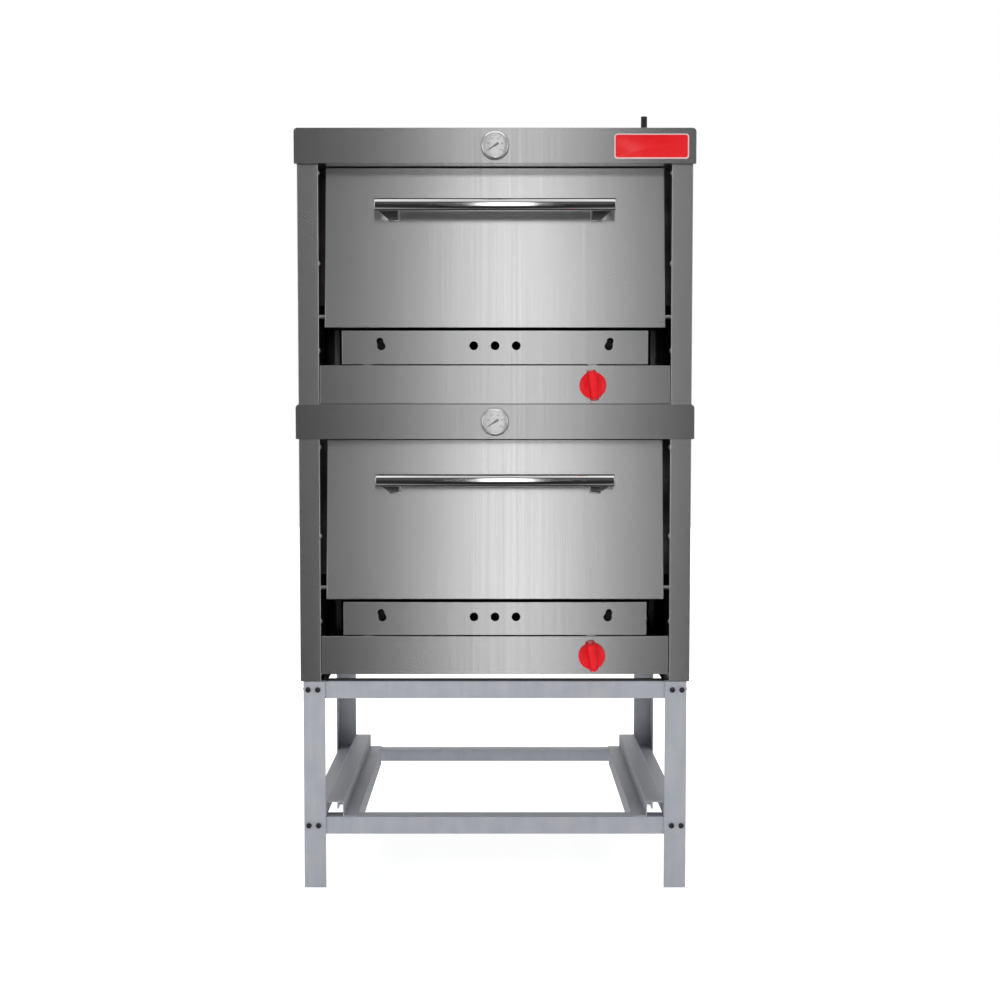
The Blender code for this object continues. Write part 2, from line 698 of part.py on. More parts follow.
def build_knob(prefix, pivot):
    """A disc with a raised grip that runs past its edge at both ends."""
    edge = 0.003
    profile = [
        (0, KNOB_RIM + edge),
        (0.6 * KNOB_RADIUS, KNOB_RIM + 0.8 * edge),
        (KNOB_RADIUS - edge, KNOB_RIM),
        (KNOB_RADIUS, KNOB_RIM - edge),
        (KNOB_RADIUS, KNOB_BACK + edge / 2),
        (KNOB_RADIUS - edge / 2, KNOB_BACK),
        (0, KNOB_BACK),
    ]
    knob = place(f"{prefix}_gas_knob", turned_mesh("knob", profile), RED_PLASTIC, pivot)
    low = (-GRIP_HALF_WIDTH, -GRIP_HALF_LENGTH, GRIP_BACK)
    bm = cube(low, (GRIP_HALF_WIDTH, GRIP_HALF_LENGTH, FRONT_OVERHANG))
    for vert in bm.verts:
        if vert.co.z > GRIP_BACK + GAP:
            vert.co.x *= GRIP_TOP_WIDTH
            vert.co.y *= GRIP_TOP_LENGTH
    upright = [e for e in bm.edges if abs(e.verts[0].co.z - e.verts[1].co.z) > FRONT_OVERHANG / 2]
    bmesh.ops.bevel(bm, geom=upright, offset=2 * edge, segments=4, profile=0.5, affect="EDGES")
    top = [e for e in bm.edges if all(v.co.z > FRONT_OVERHANG - GAP for v in e.verts)]
    bmesh.ops.bevel(bm, geom=top, offset=0.002, segments=2, profile=0.5, affect="EDGES")
    bmesh.ops.rotate(bm, matrix=Matrix.Rotation(KNOB_TILT, 3, "Z"), verts=bm.verts)
    join(knob, mesh_from(bm, "grip"))
    cut(knob, cylinder_mesh("stem_socket", (0, 0, -POKE), (0, 0, SOCKET_DEPTH), SOCKET_RADIUS))


def build_feed(prefix, base):
    """The copper-size pipe from the tee at the rear to the valve's side."""
    z = base + KNOB_HEIGHT
    valve_y = (VALVE_Y[0] + VALVE_Y[1]) / 2
    valve_x = KNOB_X + VALVE_HALF + GAP
    route = [
        (PIPE_X, RISER_Y - TEE_RADIUS + GAP, z),
        (PIPE_X, FRONT + 0.200, z),
        (valve_x + 0.045, valve_y, z),
        (valve_x, valve_y, z),
    ]
    place(f"{prefix}_feed_pipe", tube_mesh("feed", rounded_route(route, BEND_RADIUS), FEED_RADIUS, 2), BRASS)


def build_riser():
    heights = [base + KNOB_HEIGHT for base in DECK_BASES.values()]
    top = DECK_BASES["upper"] + ROOF_TOP + RISER_ABOVE_ROOF
    low = min(heights) - RISER_TAIL
    riser = place(
        "gas_riser_pipe",
        cylinder_mesh("riser", (PIPE_X, RISER_Y, low), (PIPE_X, RISER_Y, top), RISER_RADIUS, 24),
        BLACK_PIPE,
    )
    for z in heights:
        tee_ends = (PIPE_X, RISER_Y, z - TEE_HALF), (PIPE_X, RISER_Y, z + TEE_HALF)
        join(riser, cylinder_mesh("tee", *tee_ends, TEE_RADIUS))
        bore_ends = (PIPE_X, REAR - POKE, z), (PIPE_X, RISER_Y - TEE_RADIUS / 2, z)
        cut(riser, cylinder_mesh("tee_bore", *bore_ends, TEE_BORE))


# ---- a deck's chamber --------------------------------------------------------------------
def door_frame(base):
    """The closed door's frame: origin on the hinge axis, leaning back."""
    return Matrix.Translation((0, AXIS_Y, base + AXIS_HEIGHT)) @ Matrix.Rotation(-LEAN, 4, "X")


def build_chamber(prefix, base):
    """The liner box with its front edges on the door's slope, and the frame round the mouth."""
    slope = door_frame(base)
    bm = cube(
        (-CHAMBER_HALF - SHEET, FRONT, base + FLOOR - SHEET),
        (CHAMBER_HALF + SHEET, CHAMBER_BACK + SHEET, base + CEILING + SHEET),
    )
    mouth = slope @ Vector((0, MOUTH_PLANE + SHEET / 2, 0))
    for vert in bm.verts:
        if vert.co.y < 0:
            vert.co.y = mouth.y + (vert.co.z - mouth.z) * math.tan(LEAN)
    opened = [f for f in bm.faces if f.normal.y < -0.9]
    bmesh.ops.delete(bm, geom=opened, context="FACES_ONLY")
    liner = place(f"{prefix}_chamber_liner", mesh_from(bm, "liner"), INNER_STEEL)
    fold_sheet(liner, SHEET, offset=-1)
    reach = CHAMBER_HALF + POKE
    swing = (-reach, FRONT, base + SILL_LOW), (reach, SILL_Y, base + SWING_HIGH)
    cut(liner, box_mesh("door_swing", *swing))
    edge = OPENING_HALF - GAP
    jamb = CHAMBER_HALF + SHEET / 2
    plate = box_mesh("frame", (-edge, MOUTH_PLANE, MOUTH_LOW), (edge, MOUTH_PLANE + SHEET, MOUTH_HIGH))
    frame = place_cutter(f"{liner.name}_frame", plate)
    frame.matrix_world = slope
    mouth_box = box_mesh("mouth", (-jamb, MOUTH_PLANE - POKE, 0), (jamb, MOUTH_PLANE + POKE, MOUTH_LINTEL))
    mouth_cutter = place_cutter(f"{liner.name}_mouth", mouth_box)
    mouth_cutter.matrix_world = slope
    boolean(frame, mouth_cutter, "DIFFERENCE")
    boolean(liner, frame, "UNION")
    sill_low = (-CHAMBER_HALF, SILL_Y - GAP, base + SILL_LOW)
    join(liner, box_mesh("sill", sill_low, (CHAMBER_HALF, SILL_Y + SHEET, base + FLOOR - GAP)))
    z = base + CEILING
    cut(liner, cylinder_mesh("probe_bore", (0, PROBE_Y, z - POKE), (0, PROBE_Y, z + POKE), PROBE_BORE, 16))


def build_stone(prefix, base):
    side = CHAMBER_HALF - STONE_MARGIN
    bottom = base + FLOOR + GAP
    low = (-side, SILL_Y + STONE_BEHIND_SILL, bottom)
    high = (side, CHAMBER_BACK - STONE_MARGIN, bottom + STONE_THICK)
    plates(f"{prefix}_hearth_stone", [(low, high)], STONE)


# ---- a deck's door -----------------------------------------------------------------------
def build_door(prefix, base):
    pivot = new_pivot(f"{prefix}_door_axis", (0, AXIS_Y, base + AXIS_HEIGHT), (-LEAN, 0, 0))
    skin = tray(
        f"{prefix}_door_skin",
        (-DOOR_HALF, DOOR_FRONT, DOOR_BOTTOM),
        (DOOR_HALF, DOOR_FRONT + DOOR_SKIN_DEPTH, DOOR_TOP),
        (0, 1, 0),
        SKIN,
        STAINLESS,
        pivot,
    )
    for sign in (-1, 1):
        ends = (sign * (DOOR_HALF - POKE / 2), 0, 0), (sign * (DOOR_HALF + POKE / 2), 0, 0)
        cut(skin, cylinder_mesh("rod_hole", *ends, ROD_HOLE))
    inset = LINER_INSET
    tray(
        f"{prefix}_door_liner",
        (-DOOR_HALF + inset, LINER_FRONT, DOOR_BOTTOM + inset),
        (DOOR_HALF - inset, DOOR_BACK, DOOR_TOP - inset),
        (0, -1, 0),
        SKIN,
        INNER_STEEL,
        pivot,
    )
    rod = cylinder_mesh("rod", (-ROD_HALF, 0, 0), (ROD_HALF, 0, 0), ROD_RADIUS, 24)
    place(f"{prefix}_hinge_rod", rod, POLISHED, pivot)
    build_handle(prefix, pivot)


def build_handle(prefix, pivot):
    """A round bar on two slanted brackets that taper down to pads on the door."""
    bar_y = DOOR_FRONT - HANDLE_STANDOFF
    face = DOOR_FRONT - GAP
    foot_z = HANDLE_HEIGHT - HANDLE_DROP
    ends = (-HANDLE_HALF, bar_y, HANDLE_HEIGHT), (HANDLE_HALF, bar_y, HANDLE_HEIGHT)
    handle = place(f"{prefix}_door_handle", cylinder_mesh("bar", *ends, HANDLE_RADIUS), POLISHED, pivot)
    for sign in (-1, 1):
        bm = cube((-1, -1, -1), (1, 1, 1))
        for vert in bm.verts:
            at_bar = vert.co.y < 0
            inner, outer = BRACKET_AT_BAR if at_bar else BRACKET_AT_FOOT
            half_height = BRACKET_HALF_AT_BAR if at_bar else BRACKET_HALF_AT_FOOT
            x = outer if vert.co.x > 0 else inner
            y = bar_y if at_bar else face - FOOT_PAD / 2
            middle = HANDLE_HEIGHT if at_bar else foot_z
            vert.co = (sign * x, y, middle + math.copysign(half_height, vert.co.z))
        bmesh.ops.recalc_face_normals(bm, faces=bm.faces)
        join(handle, mesh_from(bm, "bracket"))
        inner, outer = BRACKET_AT_FOOT
        pad = sorted_box(
            (sign * (inner - PAD_MARGIN), face - FOOT_PAD, foot_z - PAD_HALF_HEIGHT),
            (sign * (outer + PAD_MARGIN), face, foot_z + PAD_HALF_HEIGHT),
        )
        join(handle, box_mesh("pad", *pad))


# ---- a deck's thermometer ----------------------------------------------------------------
def build_thermometer(prefix, base):
    z = base + THERMO_HEIGHT
    centre = (0, HEADER_FACE, z)
    profile = [
        (0, SHEET - CAN_DEPTH),
        (GLASS_RADIUS + GAP, SHEET - CAN_DEPTH),
        (GLASS_RADIUS + GAP, BEZEL_FACE),
        (BEZEL_RADIUS - 0.003, BEZEL_FACE),
        (BEZEL_RADIUS - 0.001, BEZEL_FACE - 0.0015),
        (BEZEL_RADIUS, BEZEL_FACE - 0.004),
        (BEZEL_RADIUS, GAP),
        (CAN_RADIUS, GAP),
        (CAN_RADIUS, -CAN_DEPTH),
        (0, -CAN_DEPTH),
    ]
    case = place(f"{prefix}_thermometer_case", turn_forward(turned_mesh("case", profile), centre), POLISHED)
    route = [
        (0, HEADER_FACE + CAN_DEPTH - SHEET / 2, z),
        (0, PROBE_Y, z),
        (0, PROBE_Y, base + PROBE_LOW),
    ]
    join(case, tube_mesh("probe", rounded_route(route, 0.03), PROBE_RADIUS, 2))
    neck_start, neck_end = HEADER_FACE + CAN_DEPTH - SHEET / 2 - GAP, FRONT + NECK_REACH
    join(case, cylinder_mesh("neck", (0, neck_start, z), (0, neck_end, z), NECK_RADIUS))
    dial_profile = [
        (DIAL_HOLE, DIAL_FACE),
        (GLASS_RADIUS, DIAL_FACE),
        (GLASS_RADIUS, DIAL_BACK),
        (DIAL_HOLE, DIAL_BACK),
        (DIAL_HOLE, DIAL_FACE),
    ]
    dial = turn_forward(turned_mesh("dial", dial_profile), centre)
    place(f"{prefix}_thermometer_dial", dial, WHITE_ENAMEL)
    lens_profile = [(0, LENS_CROWN), (GLASS_RADIUS, LENS_RIM), (GLASS_RADIUS, LENS_BACK), (0, LENS_BACK)]
    lens = turn_forward(turned_mesh("lens", lens_profile), centre)
    place(f"{prefix}_thermometer_lens", lens, GLASS)
    pivot = new_pivot(f"{prefix}_needle_axis", centre, (math.pi / 2, 0, 0))
    hub_profile = [
        (0, HUB_CROWN),
        (HUB_RADIUS, HUB_RIM),
        (HUB_RADIUS, HUB_BACK),
        (SPINDLE_RADIUS, HUB_BACK),
        (SPINDLE_RADIUS, SPINDLE_END),
        (0, SPINDLE_END),
    ]
    needle = place(f"{prefix}_thermometer_needle", turned_mesh("hub", hub_profile, 24), BLACK, pivot)
    bm = cube((NEEDLE_TAIL, -NEEDLE_HALF, NEEDLE_BACK), (NEEDLE_TIP, NEEDLE_HALF, NEEDLE_FACE))
    for vert in bm.verts:
        vert.co.y *= NEEDLE_TIP_NARROWS if vert.co.x > 0 else NEEDLE_TAIL_WIDENS
    bmesh.ops.rotate(bm, matrix=Matrix.Rotation(NEEDLE_REST, 3, "Z"), verts=bm.verts)
    join(needle, mesh_from(bm, "pointer"))


def build_badge():
    """A plain name plate on the upper header."""
    width, thick, height = BADGE_SIZE
    z = DECK_BASES["upper"] + BADGE_HEIGHT
    face = HEADER_FACE - GAP
    low = (BADGE_X - width / 2, face - thick, z - height / 2)
    plates("badge_plate", [(low, (BADGE_X + width / 2, face, z + height / 2))], RED_PLASTIC)


def build_deck(prefix, base):
    build_side_panels(prefix, base)
    build_roof(prefix, base)
    build_rear(prefix, base)
    build_base_pan(prefix, base)
    build_header(prefix, base)
    build_control_panel(prefix, base)
    build_burner_panel(prefix, base)
    build_burner(prefix, base)
    build_valve(prefix, base)
    build_feed(prefix, base)
    build_chamber(prefix, base)
    build_stone(prefix, base)
    build_door(prefix, base)
    build_thermometer(prefix, base)


clear_scene()
PARTS = new_collection("deck_oven")
CUTTERS = new_collection("cutters")
build_stand()
for deck, deck_base in DECK_BASES.items():
    build_deck(deck, deck_base)
build_riser()
build_badge()
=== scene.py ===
"""The looks of a two-deck gas baking oven: brushed stainless casings on a painted angle-iron stand."""

import json
import math

import bmesh
import bpy
import numpy as np
from mathutils import Matrix, Vector


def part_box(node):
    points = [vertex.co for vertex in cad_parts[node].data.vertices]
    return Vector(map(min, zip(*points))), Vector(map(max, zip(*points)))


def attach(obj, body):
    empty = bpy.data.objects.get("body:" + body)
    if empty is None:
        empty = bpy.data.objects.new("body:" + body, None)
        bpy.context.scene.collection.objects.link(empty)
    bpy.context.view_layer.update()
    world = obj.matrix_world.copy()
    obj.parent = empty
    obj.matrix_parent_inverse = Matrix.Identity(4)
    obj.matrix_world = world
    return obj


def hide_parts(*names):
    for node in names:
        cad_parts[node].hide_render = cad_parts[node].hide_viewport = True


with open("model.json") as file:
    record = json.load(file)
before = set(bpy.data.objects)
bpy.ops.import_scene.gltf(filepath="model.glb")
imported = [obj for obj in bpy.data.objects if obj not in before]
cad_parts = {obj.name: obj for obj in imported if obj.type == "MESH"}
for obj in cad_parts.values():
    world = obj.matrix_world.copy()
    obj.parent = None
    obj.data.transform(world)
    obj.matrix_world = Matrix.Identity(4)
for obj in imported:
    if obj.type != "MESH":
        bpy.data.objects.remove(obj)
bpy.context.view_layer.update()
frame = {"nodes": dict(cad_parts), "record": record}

MM = 0.001
THICKEST_SHEET = 3.4 * MM
AIR_GAP = 0.3 * MM  # between two solids that touch
WELD = 0.002 * MM  # points closer than this are one point
DECKS = ("lower", "upper")
NODES = frame["nodes"]
BODY_OF = {node: body for body, nodes in frame["record"]["behaviour"]["bodies"].items() for node in nodes}
JOINTS = {joint["name"]: joint for joint in frame["record"]["behaviour"]["joints"]}


# ---- nodes and colours -------------------------------------------------------------------
def linear(hex_colour):
    """An sRGB hex colour as linear RGBA."""
    channels = [int(hex_colour[i : i + 2], 16) / 255 for i in (1, 3, 5)]
    return (*[c / 12.92 if c <= 0.04045 else ((c + 0.055) / 1.055) ** 2.4 for c in channels], 1.0)


def add(tree, kind, inputs=None, **settings):
    """A node with its settings; each input takes a value or another node's output."""
    made = tree.nodes.new(kind)
    for name, value in settings.items():
        setattr(made, name, value)
    for name, value in (inputs or {}).items():
        if isinstance(value, bpy.types.NodeSocket):
            tree.links.new(value, made.inputs[name])
        else:
            made.inputs[name].default_value = value
    return made


def surface(name, base, **constants):
    """A material with its Principled shader, the tree, and the place on the object."""
    material = bpy.data.materials.new(name)
    material.use_nodes = True
    tree = material.node_tree
    shader = tree.nodes["Principled BSDF"]
    shader.inputs["Base Color"].default_value = linear(base)
    for socket, value in constants.items():
        shader.inputs[socket.replace("_", " ")].default_value = value
    place = add(tree, "ShaderNodeTexCoord").outputs["Object"]
    return material, tree, shader, place


def noise(tree, place, size, stretch=(1, 1, 1), detail=3.0, roughness=0.55):
    """Noise whose grains are about size metres across, longer along the axes with a small stretch."""
    spread = add(tree, "ShaderNodeMapping", {"Vector": place, "Scale": stretch})
    inputs = {"Vector": spread.outputs[0], "Scale": 1 / size, "Detail": detail, "Roughness": roughness}
    return add(tree, "ShaderNodeTexNoise", inputs).outputs["Fac"]


def remap(tree, value, low, high, start=0.3, end=0.7):
    """Takes value from start..end to low..high."""
    inputs = {0: value, 1: start, 2: end, 3: low, 4: high}
    return add(tree, "ShaderNodeMapRange", inputs).outputs[0]


def mixed(tree, factor, first, second):
    """A colour between two, by factor; first and second are hex colours or outputs."""
    made = add(tree, "ShaderNodeMix", {0: factor}, data_type="RGBA")
    for socket, value in ((6, first), (7, second)):
        if isinstance(value, str):
            made.inputs[socket].default_value = linear(value)
        else:
            tree.links.new(value, made.inputs[socket])
    return made.outputs[2]


def bump(tree, shader, height, depth, strength=1.0, below=None):
    inputs = {"Height": height, "Distance": depth, "Strength": strength}
    if below:
        inputs["Normal"] = below
    raised = add(tree, "ShaderNodeBump", inputs).outputs[0]
    tree.links.new(raised, shader.inputs["Normal"])
    return raised


# ---- materials ---------------------------------------------------------------------------
def brushed_stainless(name, across, tangent_axis, turn, tones):
    """430 stainless sheet, belt-brushed: fine straight lines, and a broad soft sheen across them.

    across stretches the grain: 1 on an axis that crosses the lines, near 0 along them. tones are the
    dark and light lines, the streaks and the clouds.
    """
    dark, light, streak, cloud = tones
    material, tree, shader, place = surface(
        name, light, Metallic=1.0, Anisotropic=0.25, Anisotropic_Rotation=turn
    )
    # real grit lines are about 0.1 mm apart, drawn at 0.9 mm so that they show
    lines = noise(tree, place, 0.9 * MM, across, 4.0, 0.65)
    coarse = noise(tree, place, 6 * MM, across, 3.0)
    clouds = noise(tree, place, 220 * MM, (1, 1, 0.5), 2.0)
    grain = mixed(tree, remap(tree, lines, 0, 1), dark, light)
    streaks = mixed(tree, remap(tree, coarse, 0.0, 0.25), grain, streak)
    colour = mixed(tree, remap(tree, clouds, 0.0, 0.25), streaks, cloud)
    tree.links.new(colour, shader.inputs["Base Color"])
    tree.links.new(remap(tree, coarse, 0.238, 0.250), shader.inputs["Roughness"])
    tangent = add(tree, "ShaderNodeTangent", direction_type="RADIAL", axis=tangent_axis).outputs[0]
    tree.links.new(tangent, shader.inputs["Tangent"])
    bump(tree, shader, lines, 0.0003 * MM, 0.2)
    return material


def heat_blackened_and_shaded_sheet():
    """Aluminised sheet round the chamber and inside the doors: dull, spangled, blackened by heat; its
    darkness is also painted shade inside the casing.
    """
    material, tree, shader, place = surface("heat_blackened_and_shaded_inner_sheet", "#45423F", Metallic=0.9)
    spangle = noise(tree, place, 9 * MM, detail=5.0)
    soot = noise(tree, place, 120 * MM, detail=4.0)
    base = mixed(tree, remap(tree, spangle, 0, 1), "#3E3B38", "#54504C")
    colour = mixed(tree, remap(tree, soot, 0.0, 0.8), base, "#221F1C")
    tree.links.new(colour, shader.inputs["Base Color"])
    tree.links.new(remap(tree, soot, 0.45, 0.65), shader.inputs["Roughness"])
    bump(tree, shader, spangle, 0.08 * MM, 0.4)
    return material


def polished_steel():
    """Polished stainless tube: mirror-like, with faint buffing marks."""
    material, tree, shader, place = surface("polished_304_tube", "#D8D8D9", Metallic=1.0)
    marks = noise(tree, place, 2.2 * MM, (0.05, 1, 1), 3.0)
    tree.links.new(remap(tree, marks, 0.07, 0.15), shader.inputs["Roughness"])
    bump(tree, shader, marks, 0.01 * MM, 0.25)
    return material


def stand_paint():
    """Grey-blue enamel on rolled angle iron: slight orange peel, dust and rub marks."""
    material, tree, shader, place = surface("grey_blue_enamel_paint", "#A4A8B1")
    peel = noise(tree, place, 2.4 * MM, detail=2.0)
    clouds = noise(tree, place, 45 * MM, detail=4.0)
    rolled = noise(tree, place, 14 * MM, (1, 1, 0.15), 3.0)
    base = mixed(tree, remap(tree, clouds, 0, 1), "#A0A5AE", "#ACAEB4")
    colour = mixed(tree, remap(tree, rolled, 0.0, 0.30), base, "#8F9299")
    tree.links.new(colour, shader.inputs["Base Color"])
    tree.links.new(remap(tree, clouds, 0.38, 0.52), shader.inputs["Roughness"])
    mill = bump(tree, shader, rolled, 0.25 * MM, 0.35)
    bump(tree, shader, peel, 0.06 * MM, 0.5, mill)
    return material


def pipe_paint():
    """Black bitumen paint on gas pipe: satin, slightly lumpy."""
    material, tree, shader, place = surface("black_pipe_paint", "#151515")
    lumps = noise(tree, place, 5 * MM)
    tree.links.new(remap(tree, lumps, 0.38, 0.55), shader.inputs["Roughness"])
    bump(tree, shader, lumps, 0.2 * MM, 0.4)
    return material


def knob_plastic():
    """Moulded red phenolic knob: glossy, with faint flow marks and handling scuffs."""
    material, tree, shader, place = surface(
        "moulded_red_phenolic", "#E00016", Specular_IOR_Level=0.25, Coat_Weight=0.12, Coat_Roughness=0.12
    )
    flow = noise(tree, place, 16 * MM, detail=3.0)
    scuff = noise(tree, place, 1.4 * MM, detail=4.0)
    colour = mixed(tree, remap(tree, flow, 0, 1), "#D8000F", "#E8001C")
    tree.links.new(colour, shader.inputs["Base Color"])
    tree.links.new(remap(tree, scuff, 0.20, 0.34), shader.inputs["Roughness"])
    bump(tree, shader, scuff, 0.02 * MM, 0.3)
    return material


def badge_enamel():
    """Red stove enamel on the name plate: glossy, very slightly wavy."""
    material, tree, shader, place = surface(
        "red_plate_enamel", "#DC0814", Coat_Weight=0.15, Coat_Roughness=0.1
    )
    waves = noise(tree, place, 14 * MM, detail=2.0)
    colour = mixed(tree, remap(tree, waves, 0, 1), "#D90612", "#E00A18")
    tree.links.new(colour, shader.inputs["Base Color"])
    tree.links.new(remap(tree, waves, 0.32, 0.36), shader.inputs["Roughness"])
    bump(tree, shader, waves, 0.01 * MM, 0.1)
    return material


def plate_border():
    """The plate's pale raised edge, satin aluminium."""
    material, tree, shader, place = surface("satin_aluminium_edge", "#EBC9CB", Metallic=0.2)
    grain = noise(tree, place, 1.2 * MM, (0.1, 1, 1))
    tree.links.new(remap(tree, grain, 0.30, 0.42), shader.inputs["Roughness"])
    bump(tree, shader, grain, 0.02 * MM, 0.3)
    return material


def burner_iron():
    """Cast and drawn iron burner: matt, dark, flecked with scale."""
    material, tree, shader, place = surface("scaled_burner_iron", "#3A3633", Metallic=0.7)
    scale = noise(tree, place, 6 * MM, detail=6.0)
    colour = mixed(tree, remap(tree, scale, 0, 1), "#2B2826", "#5A5048")
    tree.links.new(colour, shader.inputs["Base Color"])
    tree.links.new(remap(tree, scale, 0.75, 0.50), shader.inputs["Roughness"])
    bump(tree, shader, scale, 0.4 * MM, 0.6)
    return material


def machined_brass():
    """Turned brass valve and pipe: warm, lightly dulled."""
    material, tree, shader, place = surface("dulled_brass", "#B8924A", Metallic=1.0)
    dull = noise(tree, place, 12 * MM, detail=4.0)
    colour = mixed(tree, remap(tree, dull, 0, 1), "#C29B52", "#8F6F37")
    tree.links.new(colour, shader.inputs["Base Color"])
    tree.links.new(remap(tree, dull, 0.25, 0.45), shader.inputs["Roughness"])
    bump(tree, shader, dull, 0.03 * MM, 0.3)
    return material


def hearth_stone():
    """Fired fireclay slab: sandy buff, speckled, open pores and bake marks."""
    material, tree, shader, place = surface("fireclay_hearth", "#C2AE8E")
    sand = noise(tree, place, 1.6 * MM, detail=5.0)
    stain = noise(tree, place, 70 * MM, detail=5.0)
    pores = add(tree, "ShaderNodeTexVoronoi", {"Vector": place, "Scale": 1 / (5 * MM)}).outputs["Distance"]
    base = mixed(tree, remap(tree, sand, 0, 1), "#B7A27F", "#CFBE9F")
    colour = mixed(tree, remap(tree, stain, 0.0, 0.55), base, "#8A7152")
    tree.links.new(colour, shader.inputs["Base Color"])
    shader.inputs["Roughness"].default_value = 0.9
    rough = bump(tree, shader, remap(tree, pores, 0, 1, 0.0, 0.25), 0.3 * MM, 0.5)
    bump(tree, shader, sand, 0.2 * MM, 0.6, rough)
    return material


def dial_enamel():
    """Silvered enamel dial face: pale, satin, faintly mottled."""
    material, tree, shader, place = surface("silvered_dial_enamel", "#E6E6E6")
    mottle = noise(tree, place, 3 * MM)
    tree.links.new(mixed(tree, remap(tree, mottle, 0, 1), "#E0E0E2", "#EDEDEC"), shader.inputs["Base Color"])
    tree.links.new(remap(tree, mottle, 0.34, 0.44), shader.inputs["Roughness"])
    return material


def dial_ink():
    """Screen-printed black ink and the needle's stoving enamel: dull black with a trace of grain."""
    material, tree, shader, place = surface("printed_black_ink", "#1B1B1C")
    grain = noise(tree, place, 0.8 * MM)
    tree.links.new(mixed(tree, remap(tree, grain, 0, 1), "#161617", "#262627"), shader.inputs["Base Color"])
    tree.links.new(remap(tree, grain, 0.40, 0.55), shader.inputs["Roughness"])
    return material


def dial_glass():
    """Flat float glass over the dial: clear, smooth, a breath of smear."""
    material, tree, shader, place = surface(
        "float_glass_lens", "#FFFFFF", IOR=1.45, Transmission_Weight=1.0
    )
    smear = noise(tree, place, 9 * MM, detail=2.0)
    tree.links.new(remap(tree, smear, 0.0, 0.05), shader.inputs["Roughness"])
    return material


def zinc_steel():
    """Zinc-plated screws: pale, cool and softly reflective."""
    material, tree, shader, place = surface("zinc_plated_screws", "#B9BBBD", Metallic=1.0)
    grain = noise(tree, place, 1.5 * MM)
    tree.links.new(remap(tree, grain, 0.22, 0.38), shader.inputs["Roughness"])
    return material


def black_bolt_steel():
    """Blackened hex bolts: oily dark oxide, worn a little grey."""
    material, tree, shader, place = surface("black_oxide_bolts", "#2C2C2E", Metallic=0.8)
    worn = noise(tree, place, 3 * MM, detail=4.0)
    tree.links.new(mixed(tree, remap(tree, worn, 0, 1), "#2E2E31", "#55555A"), shader.inputs["Base Color"])
    tree.links.new(remap(tree, worn, 0.50, 0.34), shader.inputs["Roughness"])
    return material


# ---- mesh helpers ------------------------------------------------------------------------
def new_piece(name, mesh, material, body):
    """A finished mesh as a piece of the object, riding on a body."""
    piece = bpy.data.objects.new(name, mesh)
    bpy.context.scene.collection.objects.link(piece)
    piece.data.materials.clear()
    piece.data.materials.append(material)
    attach(piece, body)
    return piece


def baked(name, mesh, *modifiers):
    """The mesh with modifiers applied; each is a type and its settings."""
    holder = bpy.data.objects.new(name, mesh)
    bpy.context.scene.collection.objects.link(holder)
    for kind, settings in modifiers:
        modifier = holder.modifiers.new(kind.lower(), kind)
        for key, value in settings.items():
            setattr(modifier, key, value)
    bpy.context.view_layer.update()
    graph = bpy.context.evaluated_depsgraph_get()
    made = bpy.data.meshes.new_from_object(holder.evaluated_get(graph))
    bpy.data.objects.remove(holder)
    return made


def combined(name, mesh, operation, others):
    """The mesh joined with others, or with the others cut out of it."""
    holders = [bpy.data.objects.new("operand", other) for other in others]
    for holder in holders:
        bpy.context.scene.collection.objects.link(holder)
    made = baked(name, mesh, *[("BOOLEAN", {"operation": operation, "object": holder}) for holder in holders])
    for holder in holders:
        bpy.data.objects.remove(holder)
    return made


def to_mesh(bm, name, smooth_angle=None):
    mesh = bpy.data.meshes.new(name)
    bm.to_mesh(mesh)
    bm.free()
    if smooth_angle is not None:
        mesh.shade_smooth()
        mesh.set_sharp_from_angle(angle=math.radians(smooth_angle))
    return mesh


def clean_copy(node):
    """The node's solid as whole flat faces, from its loose triangles."""
    bm = bmesh.new()
    bm.from_mesh(NODES[node].data)
    bmesh.ops.remove_doubles(bm, verts=bm.verts, dist=0.01 * MM)
    bmesh.ops.dissolve_limit(bm, angle_limit=math.radians(1), verts=bm.verts, edges=bm.edges)
    return bm


def narrow(face):
    """True for a sheet's cut edge or end: a face whose mean width is a sheet's thickness."""
    half_way_round = sum(edge.calc_length() for edge in face.edges) / 2
    return face.calc_area() < half_way_round * THICKEST_SHEET


def folds_of(bm, least_angle=40):
    """The outer fold lines of a sheet: sharp, raised edges between two broad faces."""
    found = []
    for edge in bm.edges:
        if len(edge.link_faces) != 2 or edge.calc_length() < 8 * MM or not edge.is_convex:
            continue
        if edge.calc_face_angle(0) > math.radians(least_angle) and not any(map(narrow, edge.link_faces)):
            found.append(edge)
    return found


def finish_sheet(node, material, radius=1.6 * MM, edge=0.25 * MM, hidden=None):
    """Replaces a sheet-metal node by its own shape with rounded folds and eased cut edges.

    hidden picks the faces that look into the casing, which are sooty and also darkened as painted shade.
    """
    bm = clean_copy(node)
    fold = bm.edges.layers.float.new("bevel_weight_edge")
    for line in folds_of(bm):
        line[fold] = 1.0
    for face in bm.faces:
        face.smooth = True
    rounded = baked(
        node,
        to_mesh(bm, node),
        ("BEVEL", {"limit_method": "WEIGHT", "width": radius, "segments": 4, "use_clamp_overlap": True}),
        ("BEVEL", {"limit_method": "ANGLE", "angle_limit": math.radians(50), "width": edge, "segments": 1}),
        ("WEIGHTED_NORMAL", {"keep_sharp": False, "weight": 100}),
    )
    piece = new_piece(f"{node}_finished", rounded, material, BODY_OF[node])
    if hidden:
        rounded.materials.append(INNER_SHEET_AND_SHADE)
        for face in rounded.polygons:
            face.material_index = int(hidden(face))
    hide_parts(node)


